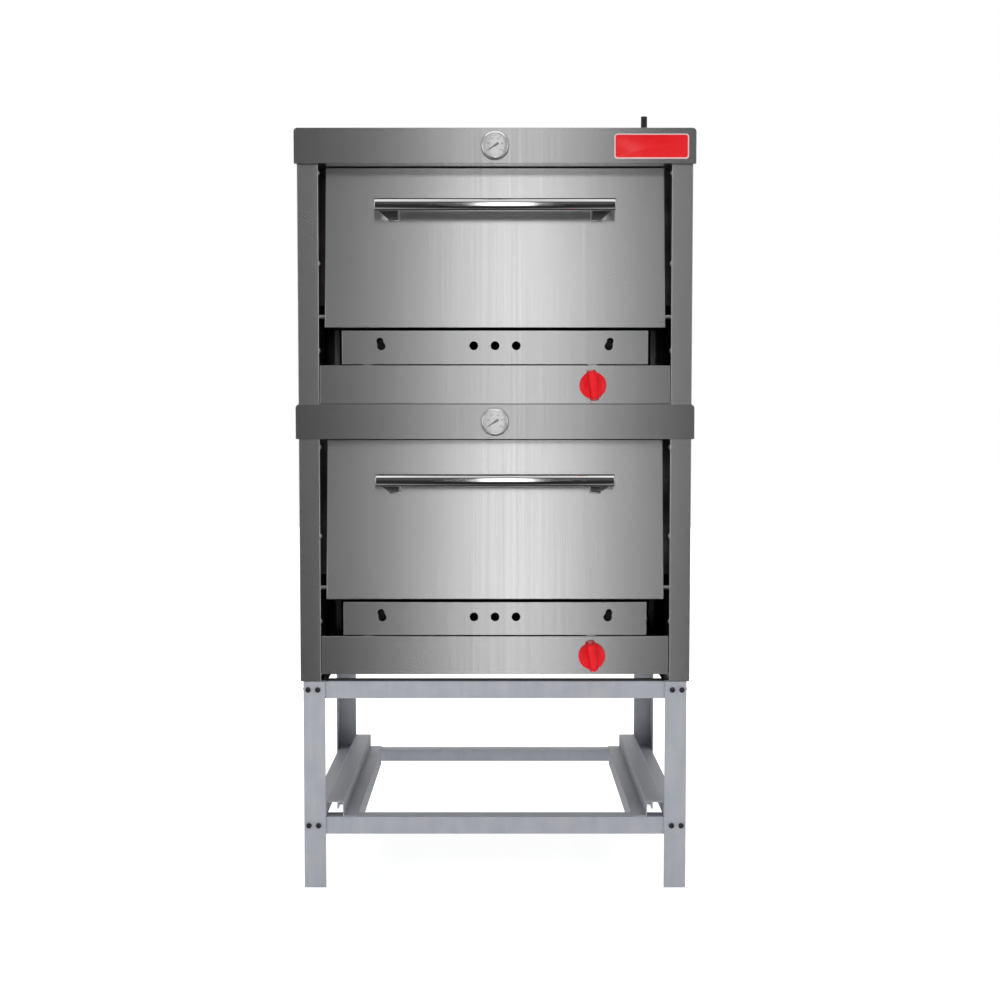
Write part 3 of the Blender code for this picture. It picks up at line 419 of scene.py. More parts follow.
def spun(profile, steps):
    """A closed shape turned about +Z; the profile is (radius, height)."""
    bm = bmesh.new()
    ring = [bm.verts.new((radius, 0, height)) for radius, height in profile]
    edges = [bm.edges.new(pair) for pair in zip(ring, ring[1:])]
    bmesh.ops.spin(
        bm,
        geom=ring + edges,
        cent=(0, 0, 0),
        axis=(0, 0, 1),
        angle=math.tau,
        steps=steps,
        use_merge=True,
    )
    bmesh.ops.remove_doubles(bm, verts=bm.verts, dist=WELD)
    bmesh.ops.recalc_face_normals(bm, faces=bm.faces)
    return bm


def turned(name, profile, centre, steps=96, smooth_angle=40):
    """A solid turned about the line that runs forwards through centre; the profile is (radius, forward)."""
    bm = spun(profile, steps)
    facing = Matrix.Translation(centre) @ Matrix.Rotation(math.pi / 2, 4, "X")
    bmesh.ops.transform(bm, matrix=facing, verts=bm.verts)
    return to_mesh(bm, name, smooth_angle)


def in_mm(points):
    return [tuple(value * MM for value in point) for point in points]


def arc(centre, radius, start, end, steps=6):
    """Points on a round, in a profile; angles in degrees."""
    span = [math.radians(start + (end - start) * i / steps) for i in range(steps + 1)]
    return [(centre[0] + radius * math.cos(a), centre[1] + radius * math.sin(a)) for a in span]


def box_bm(low, high, bevel=0.0, segments=3):
    low, high = Vector(low), Vector(high)
    bm = bmesh.new()
    bmesh.ops.create_cube(bm, size=1)
    bmesh.ops.scale(bm, vec=high - low, verts=bm.verts)
    bmesh.ops.translate(bm, vec=(low + high) / 2, verts=bm.verts)
    if bevel:
        bmesh.ops.bevel(bm, geom=bm.edges[:], offset=bevel, segments=segments, profile=0.5, affect="EDGES")
    return bm


def merged(name, meshes, smooth_angle=40):
    """Several closed shapes as one mesh."""
    bm = bmesh.new()
    for mesh in meshes:
        bm.from_mesh(mesh)
    return to_mesh(bm, name, smooth_angle)


# ---- fasteners ---------------------------------------------------------------------------
def fastener_tree():
    """Sets a fastener on every point, turned to face the way the point says, each at its own angle."""
    tree = bpy.data.node_groups.new("set_fasteners", "GeometryNodeTree")
    tree.interface.new_socket("Spots", in_out="INPUT", socket_type="NodeSocketGeometry")
    tree.interface.new_socket("Fastener", in_out="INPUT", socket_type="NodeSocketObject")
    tree.interface.new_socket("Size", in_out="INPUT", socket_type="NodeSocketFloat")
    tree.interface.new_socket("Finish", in_out="INPUT", socket_type="NodeSocketMaterial")
    tree.interface.new_socket("Seed", in_out="INPUT", socket_type="NodeSocketInt")
    tree.interface.new_socket("Set", in_out="OUTPUT", socket_type="NodeSocketGeometry")
    given = add(tree, "NodeGroupInput").outputs
    head = add(tree, "GeometryNodeObjectInfo", {"Object": given["Fastener"]})
    facing = add(tree, "GeometryNodeInputNamedAttribute", {"Name": "facing"}, data_type="FLOAT_VECTOR")
    turn = add(tree, "FunctionNodeAlignRotationToVector", {"Vector": facing.outputs[0]}, axis="Z")
    spots = add(tree, "GeometryNodeMeshToPoints", {"Mesh": given["Spots"]})
    inputs = {
        "Points": spots.outputs[0],
        "Instance": head.outputs["Geometry"],
        "Rotation": turn.outputs[0],
        "Scale": given["Size"],
    }
    placed = add(tree, "GeometryNodeInstanceOnPoints", inputs)
    angle = add(tree, "FunctionNodeRandomValue", {"Seed": given["Seed"]}, data_type="FLOAT")
    angle.inputs[3].default_value = math.tau
    spin = add(tree, "ShaderNodeCombineXYZ", {"Z": angle.outputs[1]})
    spun = add(
        tree,
        "GeometryNodeRotateInstances",
        {"Instances": placed.outputs[0], "Rotation": spin.outputs[0]},
    )
    real = add(tree, "GeometryNodeRealizeInstances", {"Geometry": spun.outputs[0]})
    painted = add(tree, "GeometryNodeSetMaterial", {"Geometry": real.outputs[0], "Material": given["Finish"]})
    add(tree, "NodeGroupOutput", {"Set": painted.outputs[0]})
    return tree


def run_tree(name, tree, mesh, values):
    """Runs a Geometry Nodes tree over a mesh and returns the plain mesh it makes."""
    holder = bpy.data.objects.new(name, mesh)
    bpy.context.scene.collection.objects.link(holder)
    modifier = holder.modifiers.new("nodes", "NODES")
    modifier.node_group = tree
    for item in tree.interface.items_tree:
        if item.item_type == "SOCKET" and item.in_out == "INPUT" and item.name in values:
            modifier[item.identifier] = values[item.name]
    bpy.context.view_layer.update()
    graph = bpy.context.evaluated_depsgraph_get()
    made = bpy.data.meshes.new_from_object(holder.evaluated_get(graph))
    bpy.data.objects.remove(holder)
    return made


def pan_screw():
    """A domed screw head, 7.6 mm across, with a cross recess."""
    profile = [(0, 2.3), (1.3, 2.15), (2.6, 1.65), (3.45, 0.9), (3.8, 0.25), (3.8, -0.2), (0, -0.2)]
    head = to_mesh(spun(in_mm(profile), 20), "pan_screw")
    arms = []
    for across, along in ((1.9, 0.42), (0.42, 1.9)):
        low, high = in_mm([(-across, -along, 1.1), (across, along, 3)])
        arms.append(to_mesh(box_bm(low, high), "recess"))
    made = combined("pan_screw", head, "DIFFERENCE", arms)
    made.shade_smooth()
    made.set_sharp_from_angle(angle=math.radians(35))
    return bpy.data.objects.new("pan_screw_model", made)


def hexagon(across, low, high):
    """A hex prism with its outer corners turned off at the top."""
    bm = bmesh.new()
    radius = across / math.sqrt(3)
    bmesh.ops.create_cone(bm, cap_ends=True, segments=6, radius1=radius, radius2=radius, depth=high - low)
    bmesh.ops.translate(bm, vec=(0, 0, (low + high) / 2), verts=bm.verts)
    top = [e for e in bm.edges if all(v.co.z > high - 0.01 * MM for v in e.verts)]
    bmesh.ops.bevel(bm, geom=top, offset=0.6 * MM, segments=2, profile=0.5, affect="EDGES")
    return bm


def disc(radius, low, high, sides=24, bevel=0.2 * MM):
    bm = bmesh.new()
    bmesh.ops.create_cone(bm, cap_ends=True, segments=sides, radius1=radius, radius2=radius, depth=high - low)
    bmesh.ops.translate(bm, vec=(0, 0, (low + high) / 2), verts=bm.verts)
    if bevel:
        rims = [e for e in bm.edges if abs(e.verts[0].co.z - e.verts[1].co.z) < 0.001 * MM]
        bmesh.ops.bevel(bm, geom=rims, offset=bevel, segments=1, profile=0.5, affect="EDGES")
    return bm


def hex_bolt():
    """An M6 hex head on a flat washer."""
    shapes = [
        to_mesh(disc(6.2 * MM, 0, 1.2 * MM), "washer"),
        to_mesh(hexagon(10 * MM, 1.2 * MM, 5.2 * MM), "head"),
    ]
    return bpy.data.objects.new("hex_bolt_model", merged("hex_bolt", shapes, 30))


def hex_nut():
    """The nut and thread end behind the same bolt."""
    shapes = [
        to_mesh(disc(6.0 * MM, 0, 1.2 * MM), "washer"),
        to_mesh(hexagon(10 * MM, 1.2 * MM, 6.2 * MM), "nut"),
        to_mesh(disc(3.0 * MM, 1 * MM, 10 * MM, 16, 0.5 * MM), "thread"),
    ]
    return bpy.data.objects.new("hex_nut_model", merged("hex_nut", shapes, 30))


def set_fasteners(name, spots, model, finish, body, seed, size=1.0):
    """Spots are (place, facing) pairs on one body."""
    mesh = bpy.data.meshes.new(name)
    mesh.from_pydata([place for place, _ in spots], [], [])
    facing = mesh.attributes.new("facing", "FLOAT_VECTOR", "POINT")
    for entry, (_, way) in zip(facing.data, spots):
        entry.vector = way
    values = {"Fastener": model, "Size": size, "Finish": finish, "Seed": seed}
    made = run_tree(name, FASTENER_TREE, mesh, values)
    return new_piece(name, made, finish, body)


# ---- casing ------------------------------------------------------------------------------
RETURN_DEPTH = 104 * MM  # the bright part of the sides inside the door opening; behind it their inner faces are painted dark as shade


def finish_casing(deck):
    low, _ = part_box(f"{deck}_side_panel_left")
    behind_return = low.y + RETURN_DEPTH
    # the sides' faces inside the casing take the dark inner sheet: heat soot and painted shade
    for hand, inward in (("left", 1), ("right", -1)):
        finish_sheet(
            f"{deck}_side_panel_{hand}",
            STAINLESS_SIDE,
            hidden=lambda face: face.normal.x * inward > 0.5 and face.center.y > behind_return,
        )
    finish_sheet(f"{deck}_rear_panel", STAINLESS, hidden=lambda face: face.normal.y < -0.5)
    finish_sheet(
        f"{deck}_roof_panel",
        STAINLESS,
        hidden=lambda face: face.normal.z < -0.5 and face.center.y > behind_return,
    )
    finish_sheet(f"{deck}_door_skin", STAINLESS)
    # the headers and panels take darker copies of the same sheet: painted shade
    finish_sheet(f"{deck}_header_panel", STAINLESS_HEADER_SHADED)
    for part in ("control_panel", "burner_panel"):
        finish_sheet(f"{deck}_{part}", STAINLESS_PANEL_SHADED)
    # the liners and base pan are the dark inner sheet: heat soot and painted shade
    for part in ("base_pan", "chamber_liner", "door_liner"):
        finish_sheet(f"{deck}_{part}", INNER_SHEET_AND_SHADE, 1.2 * MM)
    stone = clean_copy(f"{deck}_hearth_stone")
    bmesh.ops.bevel(stone, geom=stone.edges[:], offset=2.5 * MM, segments=3, profile=0.5, affect="EDGES")
    slab = new_piece(
        f"{deck}_hearth_slab", to_mesh(stone, "slab", 30), FIRECLAY, "root"
    )
    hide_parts(f"{deck}_hearth_stone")


def casing_screws(deck):
    """Screws on the stiles' inner returns and round the rear panel."""
    left_low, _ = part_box(f"{deck}_side_panel_left")
    burner_low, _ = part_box(f"{deck}_burner_panel")
    header_low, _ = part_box(f"{deck}_header_panel")
    middle = (burner_low.z + header_low.z) / 2
    heights = (burner_low.z + 33 * MM, middle + 4 * MM, header_low.z - 18 * MM)
    inner_face = opening_half()
    spots = []
    for z in heights:
        for sign in (-1, 1):
            spots.append(((sign * inner_face, left_low.y + 7 * MM, z), (-sign, 0, 0)))
    set_fasteners(f"{deck}_stile_screws", spots, PAN_SCREW, ZINC, "root", 13, 1.5)
    spots = []
    rear_low, rear_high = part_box(f"{deck}_rear_panel")
    margin = 12 * MM
    for x in np.linspace(rear_low.x + margin, rear_high.x - margin, 5):
        for z in (rear_low.z + margin, rear_high.z - margin):
            spots.append(((x, rear_high.y, z), (0, 1, 0)))
    for z in np.linspace(rear_low.z + margin, rear_high.z - margin, 4)[1:-1]:
        for x in (rear_low.x + margin, rear_high.x - margin):
            spots.append(((x, rear_high.y, z), (0, 1, 0)))
    set_fasteners(f"{deck}_casing_screws", spots, PAN_SCREW, ZINC, "root", 3)


def opening_half():
    """Half the clear width between the stiles' inner returns."""
    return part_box("lower_chamber_liner")[1].x + AIR_GAP


# ---- door --------------------------------------------------------------------------------
BAR_RADIUS, BAR_EASE = 14 * MM, 3 * MM
BRACKET_START, BRACKET_FOOT = 0.216, (0.218, 0.240)  # across the door, from its middle
PAD_END, PAD_THICK, PAD_HALF_HEIGHT = 0.242, 3 * MM, 12 * MM


def door_axes(deck):
    """The closed door's own frame: x across, y back through it, z up its slope, origin on the hinge."""
    hinge = Vector(JOINTS[f"{deck}_door_hinge"]["pos_m"])
    skin = NODES[f"{deck}_door_skin"].data
    points = np.array([v.co for v in skin.vertices])
    top = points[points[:, 2] > points[:, 2].max() - 0.1 * MM]
    front = points[points[:, 1] < points[:, 1].min() + 0.1 * MM]
    slope = Vector(top[top[:, 1].argmin()] - front[front[:, 2].argmin()])
    lean = math.atan2(slope.y, slope.z)
    return Matrix.Translation(hinge) @ Matrix.Rotation(-lean, 4, "X")


def local_box(node, deck):
    inverse = door_axes(deck).inverted()
    points = np.array([inverse @ v.co for v in NODES[node].data.vertices])
    return Vector(points.min(0)), Vector(points.max(0))


def build_handle(deck):
    """A polished tube with rounded ends on two tapering brackets, each on a screwed pad."""
    axes = door_axes(deck)
    low, high = local_box(f"{deck}_door_handle", deck)
    skin_low, _ = local_box(f"{deck}_door_skin", deck)
    bar_y, bar_z = low.y + BAR_RADIUS, high.z - BAR_RADIUS
    half = high.x
    profile = [(0, half), *arc((BAR_RADIUS - BAR_EASE, half - BAR_EASE), BAR_EASE, 90, 0)]
    profile += [(r, -h) for r, h in reversed(profile)]
    bar = turned(f"{deck}_bar", profile, (0, 0, 0), 96)
    bar.transform(Matrix.Translation((0, bar_y, bar_z)) @ Matrix.Rotation(math.pi / 2, 4, "Z"))
    shapes, pads = [bar], []
    face = skin_low.y - AIR_GAP
    foot_z = low.z + PAD_HALF_HEIGHT
    for sign in (-1, 1):
        bm = box_bm((-1, -1, -1), (1, 1, 1))
        for vert in bm.verts:
            at_bar = vert.co.y < 0
            inner, outer = (BRACKET_START, half - 2 * MM) if at_bar else BRACKET_FOOT
            rise = (9 if at_bar else 10) * MM
            x = outer if vert.co.x > 0 else inner
            y = bar_y if at_bar else face - PAD_THICK / 2
            z = (bar_z if at_bar else foot_z) + math.copysign(rise, vert.co.z)
            vert.co = (sign * x, y, z)
        bmesh.ops.recalc_face_normals(bm, faces=bm.faces)
        bmesh.ops.bevel(bm, geom=bm.edges[:], offset=2.6 * MM, segments=5, profile=0.5, affect="EDGES")
        shapes.append(to_mesh(bm, "bracket"))
        near, far = sorted((sign * BRACKET_START, sign * PAD_END))
        pad_low = (near, face - PAD_THICK, foot_z - PAD_HALF_HEIGHT)
        pads.append(to_mesh(box_bm(pad_low, (far, face, foot_z + PAD_HALF_HEIGHT), 0.8 * MM), "pad"))
    for name, meshes, finish in (("bar_handle", shapes, POLISHED), ("handle_pads", pads, ZINC)):
        mesh = merged(f"{deck}_{name}", meshes, 35)
        mesh.transform(axes)
        handle = new_piece(f"{deck}_{name}", mesh, finish, f"{deck}_door")
        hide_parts(f"{deck}_door_handle")


def door_liner_screws(deck):
    """Two rows of small screws on the door's inner sheet."""
    axes = door_axes(deck)
    liner_low, liner_high = local_box(f"{deck}_door_liner", deck)
    margin = 14 * MM
    spots = []
    for x in np.linspace(liner_low.x + margin, liner_high.x - margin, 6):
        for z in (liner_low.z + margin + 8 * MM, liner_high.z - margin):
            spots.append((axes @ Vector((x, liner_high.y, z)), axes.to_3x3() @ Vector((0, 1, 0))))
    set_fasteners(
        f"{deck}_door_liner_screws", spots, PAN_SCREW, ZINC, f"{deck}_door", 5, 0.75
    )


def finish_rod(deck):
    NODES[f"{deck}_hinge_rod"].data.materials.clear()
    NODES[f"{deck}_hinge_rod"].data.materials.append(ZINC)


# ---- knob --------------------------------------------------------------------------------
KNOB_TILT = math.radians(8)
GRIP_HALF_WIDTH, GRIP_HALF_LENGTH, GRIP_BACK = 11.2 * MM, 35.2 * MM, 3.2 * MM
GRIP_TOP_WIDTH, GRIP_TOP_LENGTH = 0.70, 0.88  # of the grip's size at its foot


def build_knob(deck):
    """A moulded knob: domed disc and raised grip in one flowing form."""
    centre = Vector(JOINTS[f"{deck}_gas_knob_turn"]["pos_m"])
    low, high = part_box(f"{deck}_gas_knob")
    tallest = centre.y - low.y
    radius = (high.x - low.x) / 2 / MM
    profile = [(0, 17.5), (12, 16.4), (20, 13.9), (25, 11.6)]
    profile += arc((radius - 3.5, 6.6), 3.5, 62, 0, 5)
    profile += [(radius, 3.2), (radius - 1.2, 1.6), (0, 1.6)]
    round_part = turned("knob_disc", in_mm(profile), (0, 0, 0), 96)
    round_part.transform(Matrix.Rotation(-math.pi / 2, 4, "X"))
    foot = (-GRIP_HALF_WIDTH, -GRIP_HALF_LENGTH, GRIP_BACK)
    grip = box_bm(foot, (GRIP_HALF_WIDTH, GRIP_HALF_LENGTH, tallest - 0.3 * MM))
    for vert in grip.verts:
        if vert.co.z > 20 * MM:
            vert.co.x *= GRIP_TOP_WIDTH
            vert.co.y *= GRIP_TOP_LENGTH
    upright = [e for e in grip.edges if abs(e.verts[0].co.z - e.verts[1].co.z) > 10 * MM]
    bmesh.ops.bevel(grip, geom=upright, offset=6.0 * MM, segments=8, profile=0.5, affect="EDGES")
    top = [e for e in grip.edges if all(v.co.z > tallest - 0.4 * MM for v in e.verts)]
    bmesh.ops.bevel(grip, geom=top, offset=2.6 * MM, segments=5, profile=0.5, affect="EDGES")
    bmesh.ops.rotate(grip, matrix=Matrix.Rotation(KNOB_TILT, 3, "Z"), verts=grip.verts)
    fused = combined("knob_blank", round_part, "UNION", [to_mesh(grip, "grip")])
    moulded = baked(
        f"{deck}_knob_form",
        fused,
        ("REMESH", {"mode": "VOXEL", "voxel_size": 0.5 * MM, "adaptivity": 0.0}),
        ("SMOOTH", {"factor": 0.5, "iterations": 7}),
    )
    moulded.transform(Matrix.Translation(centre) @ Matrix.Rotation(math.pi / 2, 4, "X"))
    moulded.shade_smooth()
    knob = new_piece(f"{deck}_moulded_knob", moulded, RED_PHENOLIC, f"{deck}_knob")
    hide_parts(f"{deck}_gas_knob")


# ---- thermometer -------------------------------------------------------------------------
SCALE_STEPS = 50
SCALE_START, SCALE_SWEEP = math.radians(214), math.radians(250)
DIAL_PRINT = 2.55 * MM  # how far the printed marks stand ahead of the needle's pivot
MARK_RADIUS, FIGURE_RADIUS, FIGURE_HEIGHT = 22.2 * MM, 16.4 * MM, 4.3 * MM
POINT_TAPER, TAIL_FLARE = 0.22, 2.3  # of the pointer's usual width


def tick_tree():
    """Marks round a dial: every fifth one longer and broader. Ends as real, inked geometry."""
    tree = bpy.data.node_groups.new("dial_marks", "GeometryNodeTree")
    for name, kind in (
        ("Spots", "NodeSocketGeometry"),
        ("Length", "NodeSocketFloat"),
        ("Width", "NodeSocketFloat"),
        ("Thickness", "NodeSocketFloat"),
        ("Finish", "NodeSocketMaterial"),
    ):
        tree.interface.new_socket(name, in_out="INPUT", socket_type=kind)
    tree.interface.new_socket("Marks", in_out="OUTPUT", socket_type="NodeSocketGeometry")
    given = add(tree, "NodeGroupInput").outputs
    edges = {"X": given["Length"], "Y": given["Width"], "Z": given["Thickness"]}
    size = add(tree, "ShaderNodeCombineXYZ", edges)
    mark = add(tree, "GeometryNodeMeshCube", {"Size": size.outputs[0]})
    angle = add(tree, "GeometryNodeInputNamedAttribute", {"Name": "angle"}, data_type="FLOAT")
    major = add(tree, "GeometryNodeInputNamedAttribute", {"Name": "major"}, data_type="FLOAT")
    turn = add(tree, "ShaderNodeCombineXYZ", {"Z": angle.outputs[0]})
    rotation = add(tree, "FunctionNodeEulerToRotation", {"Euler": turn.outputs[0]})
    grow = add(tree, "ShaderNodeMath", {0: major.outputs[0], 1: 1.0}, operation="ADD")
    scale = add(tree, "ShaderNodeCombineXYZ", {"X": grow.outputs[0], "Y": grow.outputs[0], "Z": 1.0})
    spots = add(tree, "GeometryNodeMeshToPoints", {"Mesh": given["Spots"]})
    inputs = {
        "Points": spots.outputs[0],
        "Instance": mark.outputs["Mesh"],
        "Rotation": rotation.outputs[0],
        "Scale": scale.outputs[0],
    }
    placed = add(tree, "GeometryNodeInstanceOnPoints", inputs)
    real = add(tree, "GeometryNodeRealizeInstances", {"Geometry": placed.outputs[0]})
    inked = add(tree, "GeometryNodeSetMaterial", {"Geometry": real.outputs[0], "Material": given["Finish"]})
    add(tree, "NodeGroupOutput", {"Marks": inked.outputs[0]})
    return tree


def numeral(text, place, height):
    """A printed figure lying in the dial's plane."""
    curve = bpy.data.curves.new("numeral", "FONT")
    curve.body = text
    curve.size = height
    curve.extrude = 0.05 * MM
    curve.align_x = "CENTER"
    curve.align_y = "CENTER"
    holder = bpy.data.objects.new("numeral", curve)
    bpy.context.scene.collection.objects.link(holder)
    bpy.context.view_layer.update()
    graph = bpy.context.evaluated_depsgraph_get()
    mesh = bpy.data.meshes.new_from_object(holder.evaluated_get(graph))
    bpy.data.objects.remove(holder)
    mesh.transform(Matrix.Translation(place))
    bm = bmesh.new()
    bm.from_mesh(mesh)
    bmesh.ops.remove_doubles(bm, verts=bm.verts, dist=0.001 * MM)
    return to_mesh(bm, "numeral")


def on_dial(radius, angle):
    """A point of the scale, in the dial's own frame."""
    return radius * math.cos(angle), radius * math.sin(angle), DIAL_PRINT


def build_thermometer(deck):
    """A dial thermometer: polished rolled bezel, silvered dial, printed scale, needle and lens."""
    centre = Vector(JOINTS[f"{deck}_needle_turn"]["pos_m"])
    facing = Matrix.Translation(centre) @ Matrix.Rotation(math.pi / 2, 4, "X")
    outer = 32.0
    profile = [(0, -8.6), (26.4, -8.6), (26.4, 8.8), (26.7, 9.4)]
    profile += arc((outer - 6.8, 3.0), 6.8, 72, 0, 12)
    profile += [(outer, 1.2), (outer - 0.5, 0.3), (28.0, 0.3), (28.0, -10.0), (27.5, -10.5), (0, -10.5)]
    case = turned(f"{deck}_case", in_mm(profile), centre, 128)
    bezel = new_piece(f"{deck}_thermometer_bezel", case, POLISHED, "root")
    probe = clean_copy(f"{deck}_thermometer_case")
    can = [v for v in probe.verts if v.co.y < centre.y + 10.7 * MM]
    bmesh.ops.delete(probe, geom=can, context="VERTS")
    bmesh.ops.holes_fill(probe, edges=[e for e in probe.edges if e.is_boundary])
    bmesh.ops.recalc_face_normals(probe, faces=probe.faces)
    stem_mesh = to_mesh(probe, "probe", 35)
    stem = new_piece(f"{deck}_thermometer_probe", stem_mesh, POLISHED, "root")
    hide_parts(f"{deck}_thermometer_case")
    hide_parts(f"{deck}_thermometer_case")
    face = [(2.1, 2.5), (25.9, 2.5), (26.2, 2.2), (26.2, 1.0), (2.1, 1.0), (2.1, 2.5)]
    dial = turned(f"{deck}_dial", in_mm(face), centre, 96)
    plate = new_piece(f"{deck}_dial_face", dial, DIAL, "root")
    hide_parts(f"{deck}_thermometer_dial")
    mesh = bpy.data.meshes.new("marks")
    angles = [SCALE_START - SCALE_SWEEP * i / SCALE_STEPS for i in range(SCALE_STEPS + 1)]
    mesh.from_pydata([on_dial(MARK_RADIUS, angle) for angle in angles], [], [])
    turns = mesh.attributes.new("angle", "FLOAT", "POINT")
    turns.data.foreach_set("value", angles)
    major = mesh.attributes.new("major", "FLOAT", "POINT")
    major.data.foreach_set("value", [0.9 if i % 5 == 0 else 0.0 for i in range(SCALE_STEPS + 1)])
    values = {"Length": 1.7 * MM, "Width": 0.28 * MM, "Thickness": 0.12 * MM, "Finish": INK}
    marks = run_tree("marks", TICK_TREE, mesh, values)
    figures = []
    for i in range(0, SCALE_STEPS + 1, 10):
        place = Vector(on_dial(FIGURE_RADIUS, angles[i]))
        figures.append(numeral(str(i * 10), place, FIGURE_HEIGHT))
    print_mesh = merged("scale", [marks, *figures])
    print_mesh.transform(facing)
    new_piece(f"{deck}_dial_scale", print_mesh, INK, "root")
    build_needle(deck, facing)
    pane = [(0, 8.4), (20, 8.3), (25.9, 7.9), (26.1, 7.6), (26.1, 6.7), (0, 6.7)]
    lens = turned(f"{deck}_pane", in_mm(pane), centre, 96)
    glass = new_piece(f"{deck}_dial_lens", lens, GLASS, "root")
    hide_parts(f"{deck}_thermometer_lens")


def build_needle(deck, facing):
    """A tapering pointer with a broad tail, on a low hub."""
    profile = [(0, 5.6), (1.9, 5.4), (2.8, 4.8), (2.8, 2.9), (0, 2.9)]
    hub = turned("hub", in_mm(profile), (0, 0, 0), 48)
    hub.transform(Matrix.Rotation(-math.pi / 2, 4, "X"))
    low, high = in_mm([(-9.0, -1.2, 3.6), (21.0, 1.2, 4.4)])
    pointer = box_bm(low, high)
    for vert in pointer.verts:
        vert.co.y *= POINT_TAPER if vert.co.x > 0 else TAIL_FLARE
    bmesh.ops.bevel(pointer, geom=pointer.edges[:], offset=0.12 * MM, segments=1, profile=0.5, affect="EDGES")
    bmesh.ops.rotate(pointer, matrix=Matrix.Rotation(SCALE_START, 3, "Z"), verts=pointer.verts)
    mesh = merged("needle", [hub, to_mesh(pointer, "pointer")], 35)
    mesh.transform(facing)
    needle = new_piece(f"{deck}_needle_and_hub", mesh, INK, f"{deck}_needle")
    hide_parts(f"{deck}_thermometer_needle")


# ---- badge -------------------------------------------------------------------------------
def rounded_plate(low, high, corner, ease, segments=6):
    """A plate that faces forwards, with rounded corners and eased front edges."""
    bm = box_bm(low, high)
    depth = high[1] - low[1]
    upright = [e for e in bm.edges if abs(e.verts[0].co.y - e.verts[1].co.y) > depth / 2]
    bmesh.ops.bevel(bm, geom=upright, offset=corner, segments=segments, profile=0.5, affect="EDGES")
    front = [e for e in bm.edges if all(v.co.y < low[1] + 0.001 * MM for v in e.verts)]
    bmesh.ops.bevel(bm, geom=front, offset=ease, segments=2, profile=0.5, affect="EDGES")
    return bm


def build_badge():
    """A plain red enamelled plate inside a pale edge."""
    low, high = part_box("badge_plate")
    edge = 2.8 * MM
    base = rounded_plate(low + Vector((0, 0.5 * MM, 0)), high, 7 * MM, 0.3 * MM)
    rim = new_piece("badge_edge", to_mesh(base, "edge", 35), PLATE_EDGE, "root")
    inner_low = Vector((low.x + edge, low.y, low.z + edge))
    inner_high = Vector((high.x - edge, low.y + 0.45 * MM, high.z - edge))
    field = rounded_plate(inner_low, inner_high, 4.6 * MM, 0.15 * MM)
    plate = new_piece("badge_field", to_mesh(field, "field", 35), PLATE_RED, "root")
    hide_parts("badge_plate")
    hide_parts("badge_plate")


# ---- gas train ---------------------------------------------------------------------------
def finish_carried(node, material):
    """Keeps a node's own shape, gives it smooth rounds and its finish."""
    bm = clean_copy(node)
    piece = new_piece(f"{node}_finished", to_mesh(bm, node, 35), material, BODY_OF[node])
    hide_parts(node)


def finish_gas_train(deck):
    for part in ("gas_valve", "valve_stem", "feed_pipe"):
        finish_carried(f"{deck}_{part}", BRASS)
    finish_carried(f"{deck}_burner_tube", BURNER)


# ---- stand -------------------------------------------------------------------------------
NUT_SEAT = 7.6 * MM  # in from the leg's outer face
BOLT_INSETS, SCREW_INSETS = (11 * MM, 33 * MM), (18 * MM, 38 * MM)  # in from the leg's corner


def finish_stand():
    for node in sorted(NODES):
        if node.startswith("stand_"):
            finish_sheet(node, STAND_PAINT, 2.2 * MM, 0.5 * MM)
    heads, domes, nuts = [], [], []
    top_low, top_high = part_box("stand_top_rail_front")
    low_low, low_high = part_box("stand_low_rail_front")
    rails = ((top_low.z + top_high.z) / 2, (low_low.z + low_high.z) / 2)
    for end, way in (("front", -1), ("rear", 1)):
        for hand, side in (("left", -1), ("right", 1)):
            low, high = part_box(f"stand_leg_{end}_{hand}")
            outer_x = low.x if side < 0 else high.x
            outer_y = low.y if way < 0 else high.y
            for z in rails:
                for inset in BOLT_INSETS:
                    heads.append(((outer_x - side * inset, outer_y, z), (0, way, 0)))
                    through = outer_y - way * NUT_SEAT
                    nuts.append(((outer_x - side * inset, through, z), (0, -way, 0)))
            z = rails[0]
            for inset in SCREW_INSETS:
                domes.append(((outer_x, outer_y - way * inset, z), (side, 0, 0)))
                nuts.append(((outer_x - side * NUT_SEAT, outer_y - way * inset, z), (-side, 0, 0)))
    set_fasteners("stand_bolts", heads, HEX_BOLT, BOLT_BLACK, "root", 7)
    set_fasteners("stand_side_screws", domes, PAN_SCREW, BOLT_BLACK, "root", 9, 1.3)
    set_fasteners("stand_nuts", nuts, HEX_NUT, BOLT_BLACK, "root", 11)


# ---- studio ------------------------------------------------------------------------------
def studio_floor_paint():
    """Matt white studio floor, lit up with distance so that it runs into the backdrop with no edge."""
    material, tree, shader, place = surface("matt_studio_floor", "#F4F4F3")
    grain = noise(tree, place, 40 * MM)
    tree.links.new(remap(tree, grain, 0.75, 0.85), shader.inputs["Roughness"])
    away = add(tree, "ShaderNodeVectorMath", {0: place}, operation="LENGTH").outputs["Value"]
    shader.inputs["Emission Color"].default_value = linear("#FFFFFF")
    tree.links.new(remap(tree, away, 0.70, 1.0, 0.5, 2.0), shader.inputs["Emission Strength"])
    return material


# the room's strength: lowest, highest, and the span of heights it rises over, 1 being overhead
SIDE_WALLS = (0.38, 0.60, -0.2, 0.3)
DARK_END = (0.03, 0.09, -0.10, 0.10)
FRONT_SECTOR = (0, 1, 0.80, 0.955)  # how far a heading lies in front, by its cosine


